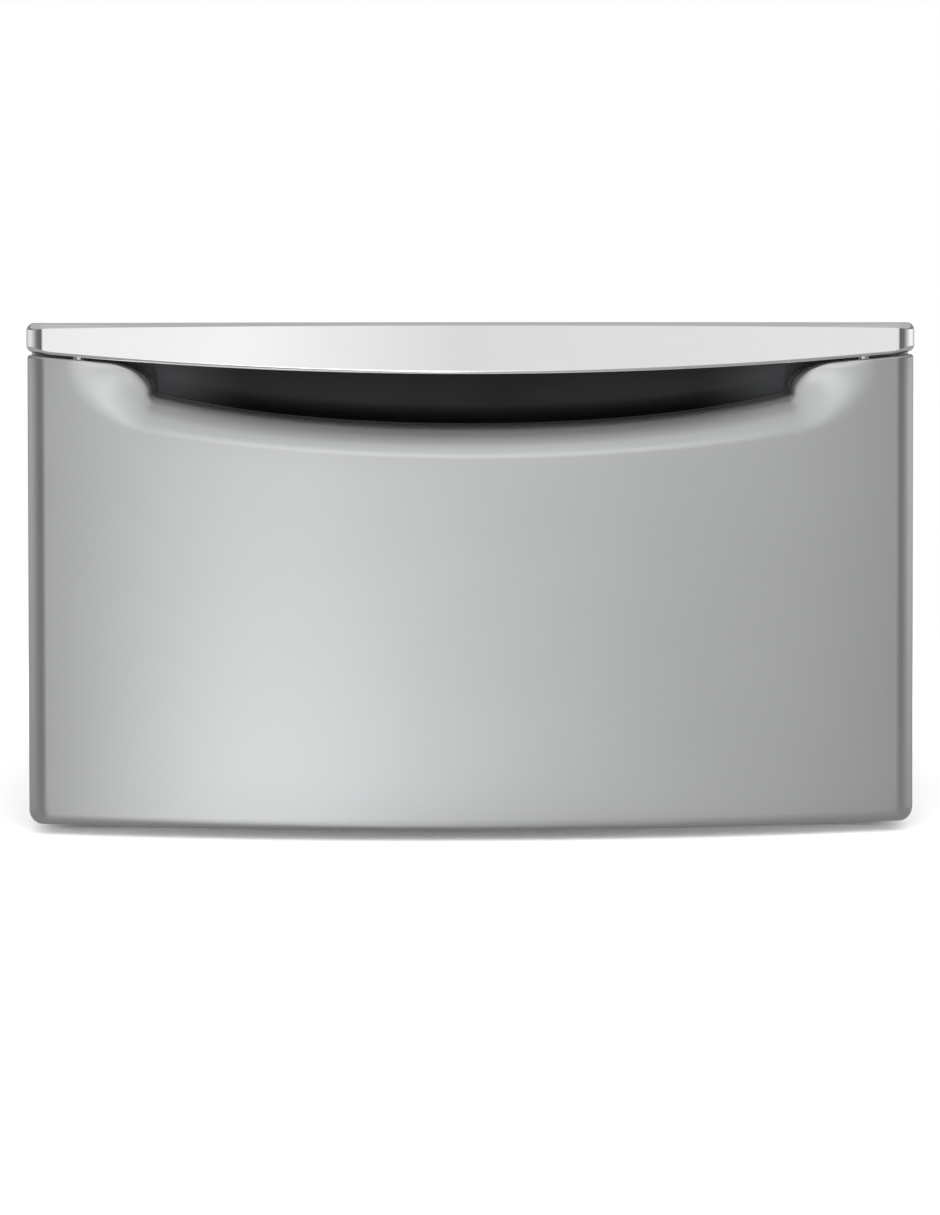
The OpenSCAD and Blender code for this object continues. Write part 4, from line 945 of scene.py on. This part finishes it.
@dataclass(frozen=True)
class Tier:
    """One height of the soft surround: radiance by azimuth, from an elevation upwards, in degrees.

    The azimuth runs from the camera's side towards +X, and the radiance between two stops is a
    straight line. The tier fades in over twice its fade.
    """

    elevation: float
    fade: float
    stops: tuple[tuple[float, float], ...]


# What the floor sends back: a bright pool on the left.
POOL = Tier(-90.0, 0.0, ((-180.0, 0.38), (-66.0, 0.38), (-37.0, 0.2), (-18.0, 2.85), (0.0, 1.36),
                         (18.0, 0.8), (42.0, 0.38), (66.0, 0.38), (180.0, 0.38)))
# A pale wall in front of the object, dark beside it and pale again behind.
WALL = Tier(-6.0, 2.0, ((-180.0, 0.47), (-150.0, 0.47), (-122.0, 0.85), (-104.0, 0.85),
                        (-66.0, 0.17), (-44.0, 0.14), (-39.0, 0.95), (-18.0, 1.05), (0.0, 0.81),
                        (18.0, 0.85), (39.0, 0.9), (44.0, 0.14), (66.0, 0.17), (104.0, 1.05),
                        (122.0, 1.05), (150.0, 0.47), (180.0, 0.47)))
# A band of light above it.
BAND = Tier(7.0, 3.0, ((-180.0, 0.3), (-66.0, 0.16), (-37.0, 0.16), (-18.0, 1.94), (18.0, 1.5),
                       (42.0, 0.16), (66.0, 0.16), (180.0, 0.3)))
# A wide soft strip higher up in front.
CROWN = Tier(23.0, 4.0, ((-180.0, 0.5), (-70.0, 0.5), (-45.0, 0.85), (0.0, 1.17), (45.0, 0.8),
                         (70.0, 0.5), (180.0, 0.5)))
# The ceiling.
ZENITH = Tier(62.0, 8.0, ((0.0, 0.58),))
TIERS = (POOL, WALL, BAND, CROWN, ZENITH)


@dataclass
class Studio:
    """The camera, the surround, the floor and a lamp, in metres."""

    # The photograph's camera, solved from the front's edges: its place, its turn and its lens.
    camera_at: tuple[float, float, float] = (-0.0485, -2.6847, 0.3666)
    yaw_degrees: float = 1.124
    pitch_degrees: float = 1.347
    roll_degrees: float = 0.063
    focal_px: float = 3116.9
    centre_row_px: float = 430.6
    frame_px: tuple[int, int] = (940, 1215)
    sensor_mm: float = 36.0
    clip_end: float = 50.0
    floor_half_w: float = 12.0
    floor_points: int = 9
    # How much light the floor sends back, from one end of its faint speckle to the other, and how
    # many times that the camera sees.
    FLOOR_SPECKLE = {"Scale": 3.0, "Detail": 4.0}
    floor_tones: tuple[float, float] = (0.84, 0.88)
    floor_boost: float = 2.7
    # Distances from the origin between which the floor turns white, and clear to reflections.
    white_from_to: tuple[float, float] = (0.55, 1.6)
    clear_from_to: tuple[float, float] = (0.1, 0.6)
    # The lamp: its azimuth from the camera's side towards +X and its elevation, how far it stands
    # from the point that it faces, its width and height, and its power.
    lamp_degrees: tuple[float, float] = (-18.0, 26.0)
    lamp_distance: float = 3.0
    lamp_aim: tuple[float, float, float] = (0.0, -0.3, 0.2)
    lamp_size: tuple[float, float] = (1.3, 1.0)
    lamp_watts: float = 0.3

    def camera(self) -> None:
        """Makes the camera at the photograph's viewing angle."""
        yaw, pitch, roll = (math.radians(angle) for angle in (self.yaw_degrees, self.pitch_degrees,
                                                              self.roll_degrees))
        level = math.cos(pitch)
        forward = np.array([math.sin(yaw) * level, math.cos(yaw) * level, -math.sin(pitch)])
        right = np.array([math.cos(yaw), -math.sin(yaw), 0.0])
        down = np.cross(forward, right)
        right, down = (right * math.cos(roll) + down * math.sin(roll),
                       down * math.cos(roll) - right * math.sin(roll))
        data = bpy.data.cameras.new("camera")
        data.sensor_width = self.sensor_mm
        data.lens = self.focal_px * self.sensor_mm / self.frame_px[1]
        data.shift_y = (self.centre_row_px - self.frame_px[1] / 2) / self.frame_px[1]
        data.clip_end = self.clip_end
        obj = bpy.data.objects.new("camera", data)
        obj.matrix_world = matrix_of(right, -down, -forward, self.camera_at)
        bpy.context.scene.collection.objects.link(obj)
        bpy.context.scene.camera = obj

    def lamp(self) -> None:
        """Makes the rectangular key lamp."""
        data = bpy.data.lights.new("key", "AREA")
        data.shape = "RECTANGLE"
        data.size, data.size_y = self.lamp_size
        data.energy = self.lamp_watts
        az, el = (math.radians(angle) for angle in self.lamp_degrees)
        level = math.cos(el)
        away = np.array([math.sin(az) * level, -math.cos(az) * level, math.sin(el)])
        side = np.cross([0.0, 0.0, 1.0], away)
        side /= np.linalg.norm(side)
        obj = bpy.data.objects.new("key", data)
        obj.matrix_world = matrix_of(side, np.cross(away, side), away,
                                     np.array(self.lamp_aim) + away * self.lamp_distance)
        bpy.context.scene.collection.objects.link(obj)

    def floor(self) -> None:
        """Makes the pale floor, which reaches past everything that the camera and the metal see."""
        n = self.floor_points
        steps = np.linspace(-self.floor_half_w, self.floor_half_w, n)
        x, y = np.meshgrid(steps, steps)
        points = np.stack([x, y, np.zeros((n, n))], axis=-1).reshape(-1, 3)
        quads = grid_faces(n, n, flip=True)
        floor = mesh_object("studio_floor", points, quads, self._floor_material())

    def _floor_material(self) -> bpy.types.Material:
        """Makes the floor's material: matt white, lit and shaded near the object.

        To the camera it is brighter than to the light, so that its lit part is as white as the
        photograph's ground and its shadow stays, and farther off it fades into white. Reflections
        see the floor near the object, and past it the surround.

        Returns:
            The material.
        """
        material = bpy.data.materials.new("studio_white")
        material.use_nodes = True
        tree = material.node_tree
        tree.nodes.clear()
        place = add_node(tree, "TexCoord").outputs["Object"]
        path = add_node(tree, "LightPath").outputs
        rays = {0: path["Is Camera Ray"], 1: path["Is Transmission Ray"]}
        seen = add_node(tree, "Math", rays, operation="MAXIMUM").outputs[0]
        speckle = add_node(tree, "TexNoise", {"Vector": place},
                           values=self.FLOOR_SPECKLE).outputs["Fac"]
        factors = {0: remap(tree, speckle, target=self.floor_tones),
                   1: remap(tree, seen, target=(1.0, self.floor_boost))}
        tone = add_node(tree, "Math", factors, operation="MULTIPLY").outputs[0]
        colour = add_node(tree, "CombineColor", {0: tone, 1: tone, 2: tone}).outputs[0]
        shader = add_node(tree, "BsdfDiffuse", {"Color": colour}).outputs[0]
        far = add_node(tree, "VectorMath", {0: place}, operation="LENGTH").outputs["Value"]
        white = add_node(tree, "Emission", values={"Color": (1, 1, 1, 1)}).outputs[0]
        clear = add_node(tree, "BsdfTransparent").outputs[0]
        for ray, other, from_to in ((seen, white, self.white_from_to),
                                    (path["Is Glossy Ray"], clear, self.clear_from_to)):
            fade = remap(tree, far, from_to, interpolation_type="SMOOTHSTEP")
            share = add_node(tree, "Math", {0: fade, 1: ray}, operation="MULTIPLY").outputs[0]
            shader = add_node(tree, "MixShader", {0: share, 1: shader, 2: other}).outputs[0]
        add_node(tree, "OutputMaterial", {"Surface": shader})
        return material

    def _ramp(self, tree: Tree, angle: Socket, stops: tuple[tuple[float, float], ...]) -> Socket:
        """Turns an angle of up to half a turn each way, in radians, into a radiance.

        Args:
            tree: the world's node tree.
            angle: the socket that gives the angle.
            stops: degrees and radiance at each bend of the broken line.

        Returns:
            The radiance.
        """
        ramp = add_node(tree, "ValToRGB", {"Fac": remap(tree, angle, (-math.pi, math.pi))})
        line = ramp.color_ramp.elements
        while len(line) > len(stops):
            line.remove(line[-1])
        while len(line) < len(stops):
            line.new(0.5)
        for stop, (degrees, radiance) in zip(line, stops):
            stop.position = 0.5 + degrees / 360.0
            stop.color = (radiance, radiance, radiance, 1.0)
        return ramp.outputs["Color"]

    def world(self) -> None:
        """Sets the surround: white to the camera, and five tiers of soft light to the object."""
        world = bpy.data.worlds.new("surround")
        bpy.context.scene.world = world
        world.use_nodes = True
        tree = world.node_tree
        tree.nodes.clear()
        way = add_node(tree, "TexCoord").outputs["Generated"]
        x, y, z = add_node(tree, "SeparateXYZ", {0: way}).outputs
        front = add_node(tree, "Math", {0: y}, values={1: -1.0}, operation="MULTIPLY").outputs[0]
        azimuth = add_node(tree, "Math", {0: x, 1: front}, operation="ARCTAN2").outputs[0]
        light = self._ramp(tree, azimuth, TIERS[0].stops)
        for tier in TIERS[1:]:
            low, high = (math.sin(math.radians(tier.elevation + k * tier.fade)) for k in (-1, 1))
            share = remap(tree, z, (low, high), interpolation_type="SMOOTHSTEP")
            light = mix_colours(tree, share, light, self._ramp(tree, azimuth, tier.stops))
        seen = add_node(tree, "LightPath").outputs["Is Camera Ray"]
        sky = mix_colours(tree, seen, light, (1.0, 1.0, 1.0, 1.0))
        sky = add_node(tree, "Background", {"Color": sky})
        add_node(tree, "OutputWorld", {"Surface": sky.outputs[0]})

    def build(self) -> None:
        """Makes the whole studio."""
        bpy.context.scene.view_settings.view_transform = "Standard"
        self.camera()
        self.world()
        self.floor()
        self.lamp()


# -------------------- all of it


def main() -> None:
    logging.basicConfig(level=logging.INFO, format="%(name)s: %(message)s")
    Studio().build()
    Ironwork().dress()
    BowedFront().build()


if __name__ == "__main__":
    main()
